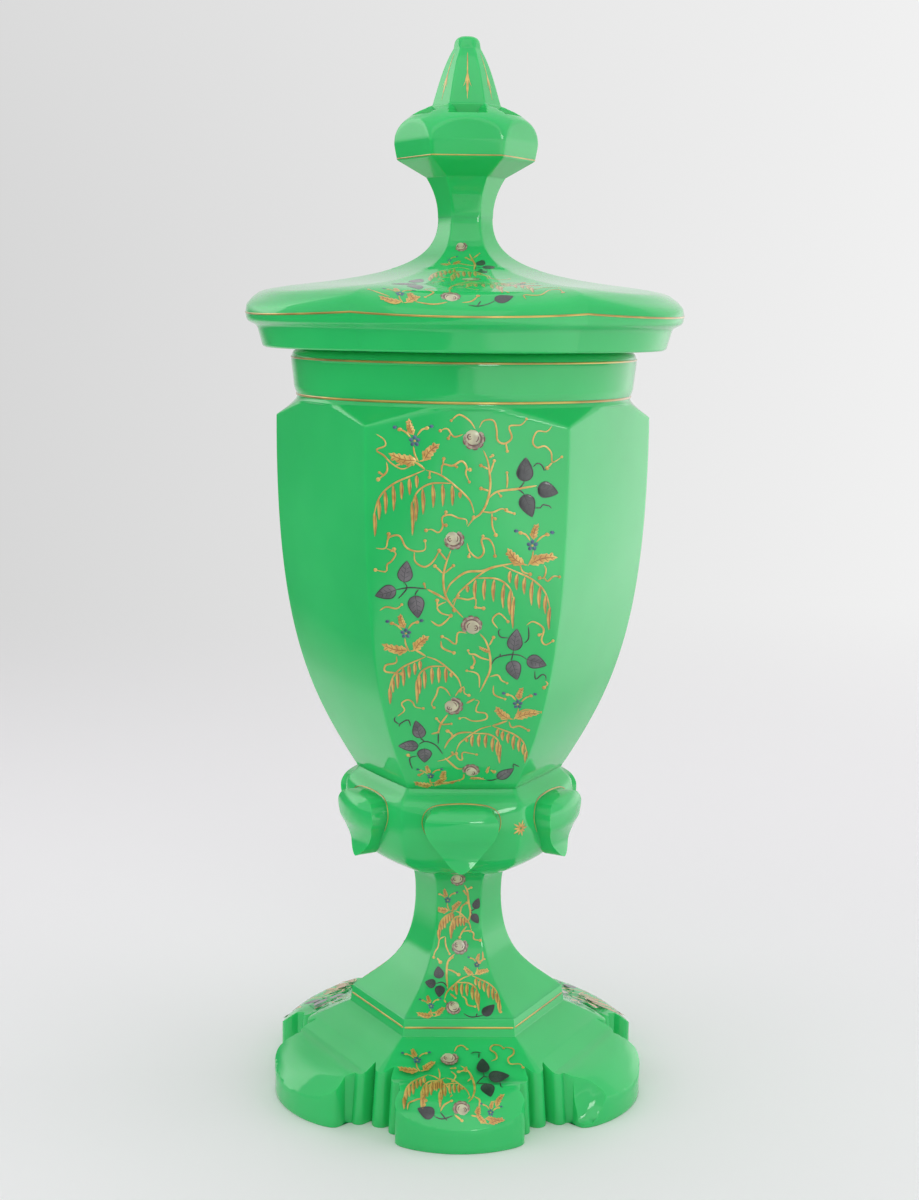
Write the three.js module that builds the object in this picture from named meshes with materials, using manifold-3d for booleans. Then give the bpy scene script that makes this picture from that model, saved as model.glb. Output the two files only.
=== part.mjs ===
// Covered vase of milky green glass, cut to six sides.
// Millimetres, +Z up. The origin is on the vase's axis, at the plane that the foot rests on.
// The front is towards -Y. Each height below is measured from the table.
// The six faces look along the headings 0, 60, 120 ... degrees, counted from the front towards +X,
// and the six corners stand half way between them.

import * as THREE from 'three';
import { mergeVertices } from 'three/addons/utils/BufferGeometryUtils.js';
import Module from 'manifold-3d';

const wasm = await Module();
wasm.setup();

// Driving dimensions: heights of the seams and steps
const footTopHeight = 38.3;
const stemTopHeight = 93.2;
const collarTopHeight = 134.6;
const shoulderHeight = 281;
const facetTopHeight = 287.4;
const neckTopHeight = 308.6;
const finialSeamHeight = 360;
const overallHeight = 430;

// Driving dimensions: radii, at the corners where a piece is six-sided
const bowlCornerRadius = 76.2;
const neckRadius = 69.9;
const neckBore = 63.5;
const rimFit = 0.6; // radial play of the cover's locating rim in the neck
const locatingRimDepth = 11.6;
const knobCornerRadius = 28.9;
const seamGap = 0.3; // left between a piece and the one that it is pressed on to

// Driving dimensions: the cover's six round lobes
const lobeArcRadius = 72;
const lobeArcCentre = 17.5; // distance of each arc's centre from the axis
const rimWave = 2.4; // how much higher the rim's top edge is in the notches than on the lobes

// Driving dimensions: the foot's six tongues, each seen from the axis outwards
const footTipRadius = 81.4;
const footTipArcRadius = 46;
const footTipHalfWidth = 20.6;
const footSideHalfWidth = 25.5;
const footCornerDistance = 71.5;
const footWaistDistance = 66.6;
const footWaistHalfWidth = 23.5;
const middlePillarRadius = 3.6; // three round pillars stand in each gap between tongues
const middlePillarDistance = 63.2; // of its centre, along the gap's own heading
const sidePillarRadius = 2.9;
const sidePillarDistance = 66;
const sidePillarSpread = 8.7; // of the side pillars' centres, to either side of the gap's heading
const grooveDistance = 62.7;
const grooveSpread = 4.7;
const middlePillarArc = 1.3; // radians of the pillar's round that show, to either side
const sidePillarNearArc = 0.75; // the same for a side pillar, towards its tongue
const sidePillarFarArc = 1.35;
const gapLean = 3; // how far the gap's walls lean in between the table and the gap's top
const gapTopHeight = 22.5;
const pontilRadius = 15; // the ground hollow under the foot
const pontilDepth = 1.5;

const sides = 6;
const sideAngle = (2 * Math.PI) / sides;
const flatness = Math.cos(sideAngle / 2); // a flat face's distance over its corner's

// A closed surface with merged vertices becomes a solid, and back
function toSolid(geometry) {
  const bare = geometry.clone();
  for (const name of Object.keys(bare.attributes)) {
    if (name !== 'position') bare.deleteAttribute(name);
  }
  const merged = mergeVertices(bare, 1e-4);
  const vertProperties = new Float32Array(merged.attributes.position.array);
  const triVerts = new Uint32Array(merged.index.array);
  return new wasm.Manifold(new wasm.Mesh({ numProp: 3, vertProperties, triVerts }));
}

function toGeometry(solid) {
  const mesh = solid.getMesh();
  const geometry = new THREE.BufferGeometry();
  geometry.setAttribute('position', new THREE.BufferAttribute(mesh.vertProperties, 3));
  geometry.setIndex(new THREE.BufferAttribute(mesh.triVerts, 1));
  geometry.computeVertexNormals();
  return geometry;
}

function points(pairs) {
  return pairs.map(([radius, height]) => new THREE.Vector2(radius, height));
}

// The points of one swept curve of a profile, from its first to its last control point
function sweep(controls, steps) {
  const curve = new THREE.CubicBezierCurve(...points(controls));
  return curve.getPoints(steps).map((point) => [point.x, point.y]);
}

// A profile of [radius, height] pairs, turned about the axis. Heading 0 is a vertex of it
function turned(profile, segments) {
  const lathe = new THREE.LatheGeometry(points(profile), segments);
  lathe.rotateX(Math.PI / 2);
  return lathe;
}

// The angle from a point's heading to the nearest face's heading
function fromFace(x, y) {
  const heading = Math.atan2(x, -y);
  return heading - sideAngle * Math.round(heading / sideAngle);
}

// A turned blank cut to six sides. Each row of the profile is [corner radius, height, roundness]:
// roundness 0 is a flat face and 1 is the whole round
function faceted(rows, segments) {
  const axisEnds = [[0, rows[0][1]], ...rows, [0, rows[rows.length - 1][1]]];
  const geometry = turned(axisEnds.map(([radius, height]) => [radius, height]), segments);
  const position = geometry.attributes.position;
  for (let i = 0; i < position.count; i += 1) {
    const row = axisEnds[i % axisEnds.length];
    const roundness = row[2] ?? 0;
    const away = fromFace(position.getX(i), position.getY(i));
    const scale = roundness + ((1 - roundness) * flatness) / Math.cos(away);
    position.setXY(i, position.getX(i) * scale, position.getY(i) * scale);
  }
  return geometry;
}

// A turned blank whose outline is six round lobes. Each row of the profile is
// [inset from the outermost outline, height on the lobe, rise towards the notch]
function lobed(rows, segments) {
  const outermost = lobeArcRadius + lobeArcCentre;
  const ends = [rows[0], ...rows, rows[rows.length - 1]];
  const profile = ends.map(([inset, height], k) => {
    const onAxis = k === 0 || k === ends.length - 1;
    return [onAxis ? 0 : outermost - inset, height];
  });
  const geometry = turned(profile, segments);
  const position = geometry.attributes.position;
  for (let i = 0; i < position.count; i += 1) {
    const [inset, height, rise] = ends[i % ends.length];
    const x = position.getX(i);
    const y = position.getY(i);
    const radius = Math.hypot(x, y);
    if (radius < 1) continue;
    const away = fromFace(x, y);
    const arc = lobeArcRadius - inset;
    const across = lobeArcCentre * Math.sin(away);
    const reach = lobeArcCentre * Math.cos(away) + Math.sqrt(arc * arc - across * across);
    const towardsNotch = (2 * away) / sideAngle;
    position.setXYZ(i, (x * reach) / radius, (y * reach) / radius, height + rise * towardsNotch ** 2);
  }
  return geometry;
}

// Foot: six tongues with round ends, and three small pillars in each gap between them.
// The outline of one sixth starts in a gap and follows the next tongue, along the tongue's own heading
function footOutline() {
  const shape = new THREE.Shape();
  const halfTurn = sideAngle / 2;
  const tipCentre = footTipRadius - footTipArcRadius;
  const tipAngle = Math.asin(footTipHalfWidth / footTipArcRadius);
  const tipAlong = tipCentre + footTipArcRadius * Math.cos(tipAngle);
  for (let k = 0; k < sides; k += 1) {
    const heading = k * sideAngle;
    const turnedBy = (angle, along, across) => [
      along * Math.cos(angle) - across * Math.sin(angle),
      along * Math.sin(angle) + across * Math.cos(angle),
    ];
    const at = (along, across) => turnedBy(heading, along, across);
    const middlePillar = () => {
      const facing = heading - halfTurn;
      const [cx, cy] = turnedBy(facing, middlePillarDistance, 0);
      shape.absarc(cx, cy, middlePillarRadius, facing - middlePillarArc, facing + middlePillarArc, false);
    };
    const groove = (side) => shape.lineTo(
      ...turnedBy(heading + side * halfTurn, grooveDistance, -side * grooveSpread));
    const sidePillar = (side) => {
      const facing = heading + side * halfTurn;
      const [cx, cy] = turnedBy(facing, sidePillarDistance, -side * sidePillarSpread);
      const [before, after] = side < 0
        ? [sidePillarFarArc, sidePillarNearArc] : [sidePillarNearArc, sidePillarFarArc];
      shape.absarc(cx, cy, sidePillarRadius, facing - before, facing + after, false);
    };
    // Each bend of a tongue's side: the corner that it rounds, then where it ends
    const corner = (side) => [
      at(footCornerDistance + 3.8, side * footSideHalfWidth),
      at(footCornerDistance, side * footSideHalfWidth),
    ];
    const waist = (side) => [
      at(footWaistDistance + 2.6, side * footSideHalfWidth),
      at(footWaistDistance, side * footWaistHalfWidth),
    ];
    middlePillar();
    groove(-1);
    sidePillar(-1);
    shape.lineTo(...waist(-1)[1]);
    shape.quadraticCurveTo(...waist(-1)[0], ...corner(-1)[1]);
    shape.quadraticCurveTo(...corner(-1)[0], ...at(tipAlong, -footTipHalfWidth));
    shape.absarc(...at(tipCentre, 0), footTipArcRadius, heading - tipAngle, heading + tipAngle, false);
    shape.quadraticCurveTo(...corner(1)[0], ...corner(1)[1]);
    shape.quadraticCurveTo(...waist(1)[0], ...waist(1)[1]);
    sidePillar(1);
    groove(1);
  }
  return shape;
}

function makeFoot() {
  const riserBottom = 30.9;
  const slab = new THREE.ExtrudeGeometry(footOutline(), {
    depth: footTopHeight, bevelEnabled: false, steps: 1, curveSegments: 4,
  });
  slab.rotateZ(-Math.PI / 2);
  const position = slab.attributes.position;
  const pillarReach = 70;
  for (let i = 0; i < position.count; i += 1) {
    const radius = Math.hypot(position.getX(i), position.getY(i));
    if (position.getZ(i) < 1 || radius > pillarReach) continue;
    const scale = 1 - (gapLean * footTopHeight) / gapTopHeight / radius;
    position.setXY(i, position.getX(i) * scale, position.getY(i) * scale);
  }
  // The top slopes away from the riser on six flats, then rolls over at the tongues' ends
  const flats = [[130, 0], [130, 3], [92, 17.5], [77, 20.4], [69, 23.1], [58, 27], [46.2, riserBottom]];
  const riser = [[45.9, riserBottom], [44.6, footTopHeight]];
  const rollOver = [
    [0, 0], [footTipRadius + 2, 0], [footTipRadius, 9.7], [79.5, 12.3], [77.4, 14.9], [75, 17], [72, 19.2],
    [68, 21.6], [64, 24], [54, footTopHeight], [0, footTopHeight],
  ];
  const pontil = [[0, pontilDepth], [pontilRadius * 0.7, pontilDepth * 0.6], [pontilRadius, 0],
    [pontilRadius, -1], [0, -1]];
  let foot = toSolid(slab)
    .intersect(toSolid(faceted([...flats, ...riser], sides * 2)))
    .intersect(toSolid(turned(rollOver, 60)))
    .subtract(toSolid(turned(pontil.reverse(), 24)));
  // A shell-shaped chip is missing from the corner of the tongue right of the front one
  const chipRadius = 12.6;
  const chip = new THREE.SphereGeometry(chipRadius, 18, 12);
  const chipAlong = 75;
  const chipAcross = 32;
  const chipHeight = 9;
  const tongue = sideAngle;
  chip.translate(
    chipAlong * Math.sin(tongue) - chipAcross * Math.cos(tongue),
    -chipAlong * Math.cos(tongue) - chipAcross * Math.sin(tongue),
    chipHeight);
  foot = foot.subtract(toSolid(chip));
  return toGeometry(foot);
}

// Stem: six flats that sweep in from the foot to a waist, and out again under the collar
function makeStem() {
  const flare = sweep([[44.5, footTopHeight], [30, 48.6], [19.3, 52.7], [18.3, 78]], 14);
  const head = [[18.3, 84.5], [18.6, 88], [19.6, 90.6], [21.6, stemTopHeight]];
  return faceted([...flare, ...head], sides * 2);
}

// Collar: a six-sided ring with barrel faces and a dished top, in which the bowl is seated.
// The grown one is only a cutter, which keeps the bosses clear of the ring
const collarRows = [
  [21.6, stemTopHeight, 0], [24.5, 93.9, 0.1], [31, 96.2, 0.3], [38, 99.6, 0.45], [42.3, 103, 0.5],
  [45, 107.2, 0.5], [46.8, 113, 0.5], [47.8, 119, 0.45], [48, 125, 0.35], [47.6, 129, 0.2],
  [46.8, 131, 0.12], [45.6, 131.7, 0.1], [43.8, 132.8, 0.08], [42.8, collarTopHeight, 0.08],
];

function makeCollar(grown) {
  const rows = collarRows.map(([radius, height, roundness]) => [radius + grown, height, roundness]);
  return faceted(rows, sides * 6);
}

// Boss: a shield pressed on to each face of the collar, with a crowned front, a nip and a turned-out tip
function makeBoss(heading) {
  const crown = [
    [48.4, 129.6], [50.6, 127.4], [51.9, 123.6], [51.5, 118], [49.2, 113], [48.2, 109], [49.2, 104.6],
    [50.4, 100],
  ];
  const shield = new THREE.Shape();
  const halfWidth = 14.7;
  const topHeight = 129.2;
  const tipHeight = 102.8;
  const widestHeight = 121.8;
  shield.moveTo(0, tipHeight);
  shield.quadraticCurveTo(halfWidth * 0.36, 105.4, halfWidth * 0.66, 111.8);
  shield.quadraticCurveTo(halfWidth, 118, halfWidth, widestHeight);
  shield.quadraticCurveTo(halfWidth, 127.6, halfWidth * 0.55, 128.6);
  shield.quadraticCurveTo(0, topHeight + 0.6, -halfWidth * 0.55, 128.6);
  shield.quadraticCurveTo(-halfWidth, 127.6, -halfWidth, widestHeight);
  shield.quadraticCurveTo(-halfWidth, 118, -halfWidth * 0.66, 111.8);
  shield.quadraticCurveTo(-halfWidth * 0.36, 105.4, 0, tipHeight);
  const edgeRounding = 2.4;
  const backDistance = 38;
  const shieldDepth = 11;
  const shieldBody = new THREE.ExtrudeGeometry(shield, {
    depth: shieldDepth, steps: 1, curveSegments: 4,
    bevelEnabled: true, bevelThickness: 3.6, bevelSegments: 2,
    bevelSize: edgeRounding, bevelOffset: -edgeRounding,
  });
  shieldBody.rotateX(Math.PI / 2);
  shieldBody.translate(0, -backDistance, 0);
  const front = turned([[0, 99], [50.4, 99], ...crown.slice().reverse(), [0, 129.6]], 72);
  const boss = toSolid(shieldBody)
    .intersect(toSolid(front))
    .subtract(toSolid(makeCollar(seamGap)));
  const geometry = toGeometry(boss);
  geometry.rotateZ(heading);
  return geometry;
}

// Bowl: a blown blank with a round neck and shoulder, hollow, with six faces cut into its belly
function makeBowl() {
  const blank = [
    [0, collarTopHeight], [86, collarTopHeight], [86, shoulderHeight - 1.6],
    [bowlCornerRadius + 0.1, shoulderHeight], [68.2, facetTopHeight], [67.6, 289.3], [68.7, 293],
    [69.2, 298], [69.6, 301.4], [neckRadius, 304], [69.2, 306.8], [67.4, 308.2],
    [66, neckTopHeight], [64.8, neckTopHeight], [neckBore, 307.4],
    [62.3, 280], [62, 255], [60, 225], [54.4, 190], [44, 163], [33, 149.6], [20, 144], [0, 143],
  ];
  const belly = sweep(
    [[43, collarTopHeight], [64.3, 168.1], [76.8, 194.8], [bowlCornerRadius, shoulderHeight]], 15);
  const faceRoundness = 0.1;
  const faces = [...belly, [bowlCornerRadius, facetTopHeight]].map(([radius, height]) => [
    radius, height, faceRoundness]);
  const clear = 92;
  faces.push([clear, facetTopHeight + 0.9], [clear, neckTopHeight + 2]);
  return toGeometry(toSolid(turned(blank, 48)).intersect(toSolid(faceted(faces, sides * 4))));
}

// Cover: a lobed rim with a smaller lobed flange below it, under a dome of six sweeping flats.
// It is hollow below, and a round rim under the flange drops into the neck
function makeCover() {
  const lineRise = rimWave * 0.6;
  const body = lobed([
    [7.6, neckTopHeight, 0], [6.5, 309.5, 0], [4.7, 316.2, 0], [4.1, 317.2, 0], [0.9, 318.8, 0],
    [0.2, 320, 0.4], [0, 322, lineRise], [0.5, 324.5, rimWave], [2.3, 326.7, rimWave], [5.2, 328.3, rimWave],
    [9, 329.4, rimWave], [14, 330.4, rimWave], [14, 345, 0],
  ], sides * 10);
  const stemRadius = 11.2;
  const flare = sweep([[74.7, 332.6], [26.3, 337.1], [11.7, 343.4], [stemRadius, 359]], 14);
  const dome = [
    [125, neckTopHeight - 1], [125, 326.2], [101, 328.5], [87, 330.4], ...flare,
    [stemRadius, finialSeamHeight],
  ];
  const stump = [[30, neckTopHeight], [30, 338.6], ...flare.slice(8), [stemRadius, finialSeamHeight]];
  const hollowRadius = neckBore - rimFit - 5.4;
  const hollow = [
    [0, neckTopHeight - 20], [hollowRadius, neckTopHeight - 20], [hollowRadius, 320], [55, 325.4], [46, 329],
    [28, 331.2], [0, 332.2],
  ];
  const rimTop = neckTopHeight + 3;
  const rimBottom = neckTopHeight - locatingRimDepth;
  const rimOuter = neckBore - rimFit;
  const locatingRim = [
    [hollowRadius, rimBottom], [rimOuter - 0.8, rimBottom], [rimOuter, rimBottom + 1], [rimOuter, rimTop],
    [hollowRadius, rimTop], [hollowRadius, rimBottom],
  ];
  const cover = toSolid(body)
    .intersect(toSolid(faceted(dome, sides * 2)))
    .add(toSolid(faceted(stump, sides * 2)))
    .subtract(toSolid(turned(hollow, 48)))
    .add(toSolid(turned(locatingRim, 48)));
  return toGeometry(cover);
}

// Finial: a solid drop of glass with a knob and a spire, turned and then cut to six sides
function makeFinial() {
  const shoulder = [
    [knobCornerRadius, 389], [28.4, 391.7], [27.3, 394.4], [25.6, 396.6], [22.7, 399], [18.8, 401.3],
    [15.6, 402.8], [14.3, 403.8],
  ];
  const tip = [[9.6, 420.5], [6.8, 424.4], [5.5, 425.6], [4.9, 428], [4.1, 429.3], [2.8, overallHeight]];
  const blank = [
    [0, finialSeamHeight], [34, finialSeamHeight], [34, 387.5], ...shoulder, [16, 405], ...tip,
    [0, overallHeight],
  ];
  const spire = sweep([[13.8, 403.6], [11.5, 410.9], [9.8, 418.5], [5.6, 425.4]], 8);
  const neck = sweep([[11.2, finialSeamHeight], [11.2, 366], [13, 371], [16, 375.7]], 6);
  const faces = [
    ...neck, [27.6, 382.3], [28.4, 386], [knobCornerRadius, 389.7], [knobCornerRadius, 398.6],
    [22.4, 401], [18.8, 402.2], ...spire, [5.4, overallHeight + 1],
  ];
  let finial = toSolid(turned(blank, 36)).intersect(toSolid(faceted(faces, sides * 2)));
  // Each face of the spire runs on down into the knob's shoulder and stops there in round corners
  const tab = new THREE.Shape();
  const tabHalfWidth = 7;
  const tabCorner = 2;
  const tabBottom = 399;
  const tabTop = 404.4;
  const tabDepth = 12;
  const spireFaceDistance = 12.3; // at the tab's height
  tab.moveTo(tabHalfWidth, tabTop);
  tab.lineTo(-tabHalfWidth, tabTop);
  tab.lineTo(-tabHalfWidth, tabBottom + tabCorner);
  tab.quadraticCurveTo(-tabHalfWidth, tabBottom, -tabHalfWidth + tabCorner, tabBottom);
  tab.lineTo(tabHalfWidth - tabCorner, tabBottom);
  tab.quadraticCurveTo(tabHalfWidth, tabBottom, tabHalfWidth, tabBottom + tabCorner);
  for (let k = 0; k < sides; k += 1) {
    const cut = new THREE.ExtrudeGeometry(tab, {
      depth: tabDepth, bevelEnabled: false, steps: 1, curveSegments: 2,
    });
    cut.rotateX(Math.PI / 2);
    cut.translate(0, -spireFaceDistance, 0);
    cut.rotateZ(k * sideAngle);
    finial = finial.subtract(toSolid(cut));
  }
  return toGeometry(finial);
}

// Every piece is the same milky green glass
function glass() {
  return new THREE.MeshStandardMaterial({ color: 0x42b873, roughness: 0.08, metalness: 0 });
}

const group = new THREE.Group();

function place(name, geometry) {
  const mesh = new THREE.Mesh(geometry, glass());
  mesh.name = name;
  group.add(mesh);
}

place('foot', makeFoot());
place('stem', makeStem());
place('collar', makeCollar(0));
const bossNames = ['boss_front', 'boss_front_right', 'boss_back_right', 'boss_back', 'boss_back_left',
  'boss_front_left'];
bossNames.forEach((name, k) => place(name, makeBoss(k * sideAngle)));
place('bowl', makeBowl());
place('cover', makeCover());
place('finial', makeFinial());

export default group;
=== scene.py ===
import bpy
import bmesh
from bisect import bisect_right
from math import acos, asin, atan2, cos, hypot, pi, radians, sin, sqrt
from mathutils import Matrix, Vector, noise
from mathutils.geometry import interpolate_bezier
from random import Random


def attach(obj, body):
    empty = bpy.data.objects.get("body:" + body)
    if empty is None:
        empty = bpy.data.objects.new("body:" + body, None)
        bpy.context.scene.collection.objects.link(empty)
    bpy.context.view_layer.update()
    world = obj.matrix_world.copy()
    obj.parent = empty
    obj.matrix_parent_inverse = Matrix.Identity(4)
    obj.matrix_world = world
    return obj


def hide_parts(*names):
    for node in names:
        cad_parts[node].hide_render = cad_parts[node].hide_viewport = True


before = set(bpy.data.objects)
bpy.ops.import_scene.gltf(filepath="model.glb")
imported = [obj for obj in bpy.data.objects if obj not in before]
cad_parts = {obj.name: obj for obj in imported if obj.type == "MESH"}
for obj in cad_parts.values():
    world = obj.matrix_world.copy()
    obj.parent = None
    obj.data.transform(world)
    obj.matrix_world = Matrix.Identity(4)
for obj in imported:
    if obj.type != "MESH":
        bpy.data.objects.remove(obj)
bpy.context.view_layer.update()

# The pieces are modelled in millimetres and scaled to metres when each one is finished.
# Headings are counted from the front, -Y, towards +X. Faces look along 0, 60, 120 ... degrees.
mm = 0.001
sides = 6
sideAngle = 2 * pi / sides
flatness = cos(sideAngle / 2)  # a flat face's distance over its corner's
weldDistance = 0.0005
onAxis = 1e-6  # what lies closer to the axis than this stays there


def smallest(a, b, blend):
    # the smaller of two values, with a soft change from one to the other
    share = min(1.0, max(0.0, 0.5 + 0.5 * (b - a) / blend))
    return b + (a - b) * share - blend * share * (1 - share)


def stepUp(low, high, value):
    share = min(1.0, max(0.0, (value - low) / (high - low)))
    return share * share * (3 - 2 * share)


def smoothTable(knots):
    # a smooth curve through a few (position, value) knots, level with the last ones beyond them
    xs = [k[0] for k in knots]
    ys = [k[1] for k in knots]
    slopes = [(ys[i + 1] - ys[i]) / (xs[i + 1] - xs[i]) for i in range(len(xs) - 1)]
    tangents = [slopes[0]]
    for before, after in zip(slopes, slopes[1:]):
        tangents.append(0.0 if before * after <= 0 else 2 * before * after / (before + after))
    tangents.append(slopes[-1])

    def value(x):
        if x <= xs[0]:
            return ys[0]
        if x >= xs[-1]:
            return ys[-1]
        i = max(k for k in range(len(xs) - 1) if xs[k] <= x)
        width = xs[i + 1] - xs[i]
        t = (x - xs[i]) / width
        return ((2 * t**3 - 3 * t**2 + 1) * ys[i] + (t**3 - 2 * t**2 + t) * width * tangents[i]
                + (3 * t**2 - 2 * t**3) * ys[i + 1] + (t**3 - t**2) * width * tangents[i + 1])

    return value


def sweepLine(controls, steps):
    # the points of one cubic curve of a profile
    a, b, c, d = (Vector((x, z, 0)) for x, z in controls)
    return [(p.x, p.y) for p in interpolate_bezier(a, b, c, d, steps + 1)]


def filletLine(corners, radius, steps=4):
    # a profile whose corners are rounded, each by what its neighbours leave room for
    line = [corners[0]]
    for before, here, after in zip(corners, corners[1:], corners[2:]):
        p, q, r = (Vector(c) for c in (before, here, after))
        reach = min(radius, (p - q).length * 0.45, (r - q).length * 0.45)
        start = q + (p - q).normalized() * reach
        end = q + (r - q).normalized() * reach
        for k in range(steps + 1):
            t = k / steps
            point = start.lerp(q, t).lerp(q.lerp(end, t), t)
            line.append(tuple(point))
    line.append(corners[-1])
    return line


def headingOf(x, y):
    return atan2(x, -y)


def fromFace(heading):
    return heading - sideAngle * round(heading / sideAngle)


def cornerAngle(away, softness, radius):
    # the angle from the nearest corner, never quite nothing, so that the corner comes out soft
    return sqrt((sideAngle / 2 - abs(away)) ** 2 + (softness / radius) ** 2)


def sixSided(corner, away, roundness=0.0, softness=0.35):
    # distance from the axis of a six-sided section whose corners are slightly softened
    fromCorner = cornerAngle(away, softness, corner)
    return roundness * corner + (1 - roundness) * corner * flatness / cos(sideAngle / 2 - fromCorner)


def closeSurface(bm):
    bmesh.ops.remove_doubles(bm, verts=bm.verts, dist=weldDistance)
    bmesh.ops.recalc_face_normals(bm, faces=bm.faces)


def finishMesh(bm, name, body, material, angle=None):
    # turns a bmesh in millimetres into a finished piece that rides on its body. Edges between faces that
    # meet at more than the angle are shaded sharp
    bmesh.ops.scale(bm, verts=bm.verts, vec=(mm, mm, mm))
    mesh = bpy.data.meshes.new(name)
    bm.to_mesh(mesh)
    bm.free()
    mesh.shade_smooth()
    if angle is not None:
        mesh.set_sharp_from_angle(angle=radians(angle))
    piece = bpy.data.objects.new(name, mesh)
    bpy.context.scene.collection.objects.link(piece)
    mesh.materials.append(material)
    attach(piece, body)
    return piece


def finishPiece(bm, name, body, material, standsFor, angle=None):
    # a glass piece is closed first, and it takes the place of nodes of the frame
    closeSurface(bm)
    piece = finishMesh(bm, name, body, material, angle)
    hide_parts(*standsFor)


def spinProfile(rows, halfFaceColumns, crowding):
    # turns a profile of (radius, height, ...) rows into a closed surface. Its columns crowd towards
    # the corners, where the light breaks. Each vertex keeps the number of its row
    bm = bmesh.new()
    rowLayer = bm.verts.layers.int.new("row")
    line = []
    for i, row in enumerate(rows):
        vert = bm.verts.new((0, -row[0], row[1]))
        vert[rowLayer] = i
        line.append(vert)
    edges = [bm.edges.new(pair) for pair in zip(line, line[1:])]
    columns = 2 * halfFaceColumns * sides
    bmesh.ops.spin(bm, geom=line + edges, cent=(0, 0, 0), axis=(0, 0, 1), angle=2 * pi, steps=columns,
                   use_merge=True)
    for vert in bm.verts:
        radius = hypot(vert.co.x, vert.co.y)
        if radius < onAxis:
            continue
        heading = headingOf(vert.co.x, vert.co.y)
        face = sideAngle * round(heading / sideAngle)
        away = heading - face
        fromCorner = 1 - abs(away) / (sideAngle / 2)
        warped = (sideAngle / 2) * (1 - max(0.0, fromCorner) ** crowding)
        heading = face + (warped if away > 0 else -warped)
        vert.co.x = radius * sin(heading)
        vert.co.y = -radius * cos(heading)
    return bm, rowLayer


def reshape(bm, rowLayer, rule):
    # moves each vertex to the radius and height that a rule gives for its row and its angle from a face
    for vert in bm.verts:
        radius = hypot(vert.co.x, vert.co.y)
        if radius < onAxis:
            continue
        away = fromFace(headingOf(vert.co.x, vert.co.y))
        newRadius, height = rule(vert[rowLayer], radius, vert.co.z, away)
        vert.co.x *= newRadius / radius
        vert.co.y *= newRadius / radius
        vert.co.z = height


# Materials
glassFinish = {
    "colour": (0.036, 0.60, 0.16, 1),
    "deepColour": (0.018, 0.51, 0.125, 1),
    "roughness": 0.07,
    "refraction": 1.52,
    "scatter": 0.35,
    "scatterRadius": (0.3, 1.0, 0.45),
    "scatterScale": 0.004,
    "cloudSize": 14,
    "cloudDetail": 3,
    "cloudEnds": (0.3, 0.7),
}


def newMaterial(name):
    material = bpy.data.materials.new(name)
    material.use_nodes = True
    nodes = material.node_tree.nodes
    return material, nodes, material.node_tree.links, nodes["Principled BSDF"]


def blendByNoise(nodes, links, pattern, first, second, ends):
    tint = nodes.new("ShaderNodeValToRGB")
    for stop, position, colour in zip(tint.color_ramp.elements, ends, (first, second)):
        stop.position = position
        stop.color = colour
    links.new(pattern.outputs["Fac"], tint.inputs["Fac"])
    return tint


def makeGlass():
    material, nodes, links, shader = newMaterial("milky green glass")
    place = nodes.new("ShaderNodeTexCoord")
    cloud = nodes.new("ShaderNodeTexNoise")
    cloud.inputs["Scale"].default_value = glassFinish["cloudSize"]
    cloud.inputs["Detail"].default_value = glassFinish["cloudDetail"]
    links.new(place.outputs["Object"], cloud.inputs["Vector"])
    tint = blendByNoise(nodes, links, cloud, glassFinish["deepColour"], glassFinish["colour"],
                        glassFinish["cloudEnds"])
    links.new(tint.outputs["Color"], shader.inputs["Base Color"])
    shader.inputs["Roughness"].default_value = glassFinish["roughness"]
    shader.inputs["IOR"].default_value = glassFinish["refraction"]
    shader.inputs["Subsurface Weight"].default_value = glassFinish["scatter"]
    shader.inputs["Subsurface Radius"].default_value = glassFinish["scatterRadius"]
    shader.inputs["Subsurface Scale"].default_value = glassFinish["scatterScale"]
    return material


glass = makeGlass()
print("glass mixed")

# Bowl: a round neck and shoulder over six long faces, hollow
bowl = {
    "foot": 134.6,
    "shoulder": 281.0,
    "facesTop": 287.4,
    "neckTop": 308.6,
    "corner": 76.2,
    "faceRoundness": 0.1,
    "edge": 0.7,  # how softly the faces meet the shoulder
    "runOut": 4.0,  # how fast the faces leave the glass above their top
    "bore": 63.5,
    "blank": 86.0,  # the radius of the turned blank below its shoulder
    "blankTop": 279.9,
}
bellyLine = sweepLine([(43, bowl["foot"]), (64.3, 168.1), (76.8, 194.8),
                       (bowl["corner"], bowl["shoulder"])], 40)
bellyCorner = smoothTable([(z, r) for r, z in bellyLine] + [(320, bowl["corner"])])
bowlBlank = smoothTable([(276, bowl["blank"]), (280.6, 77.1), (281.2, 76.0), (287.4, 68.4), (288.2, 67.8),
                         (289.3, 67.5), (290.6, 67.8), (291.8, 68.4)])


def bowlFace(height, away):
    opening = max(0.0, height - bowl["facesTop"]) * bowl["runOut"]
    return sixSided(bellyCorner(height), away, bowl["faceRoundness"]) + opening


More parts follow.
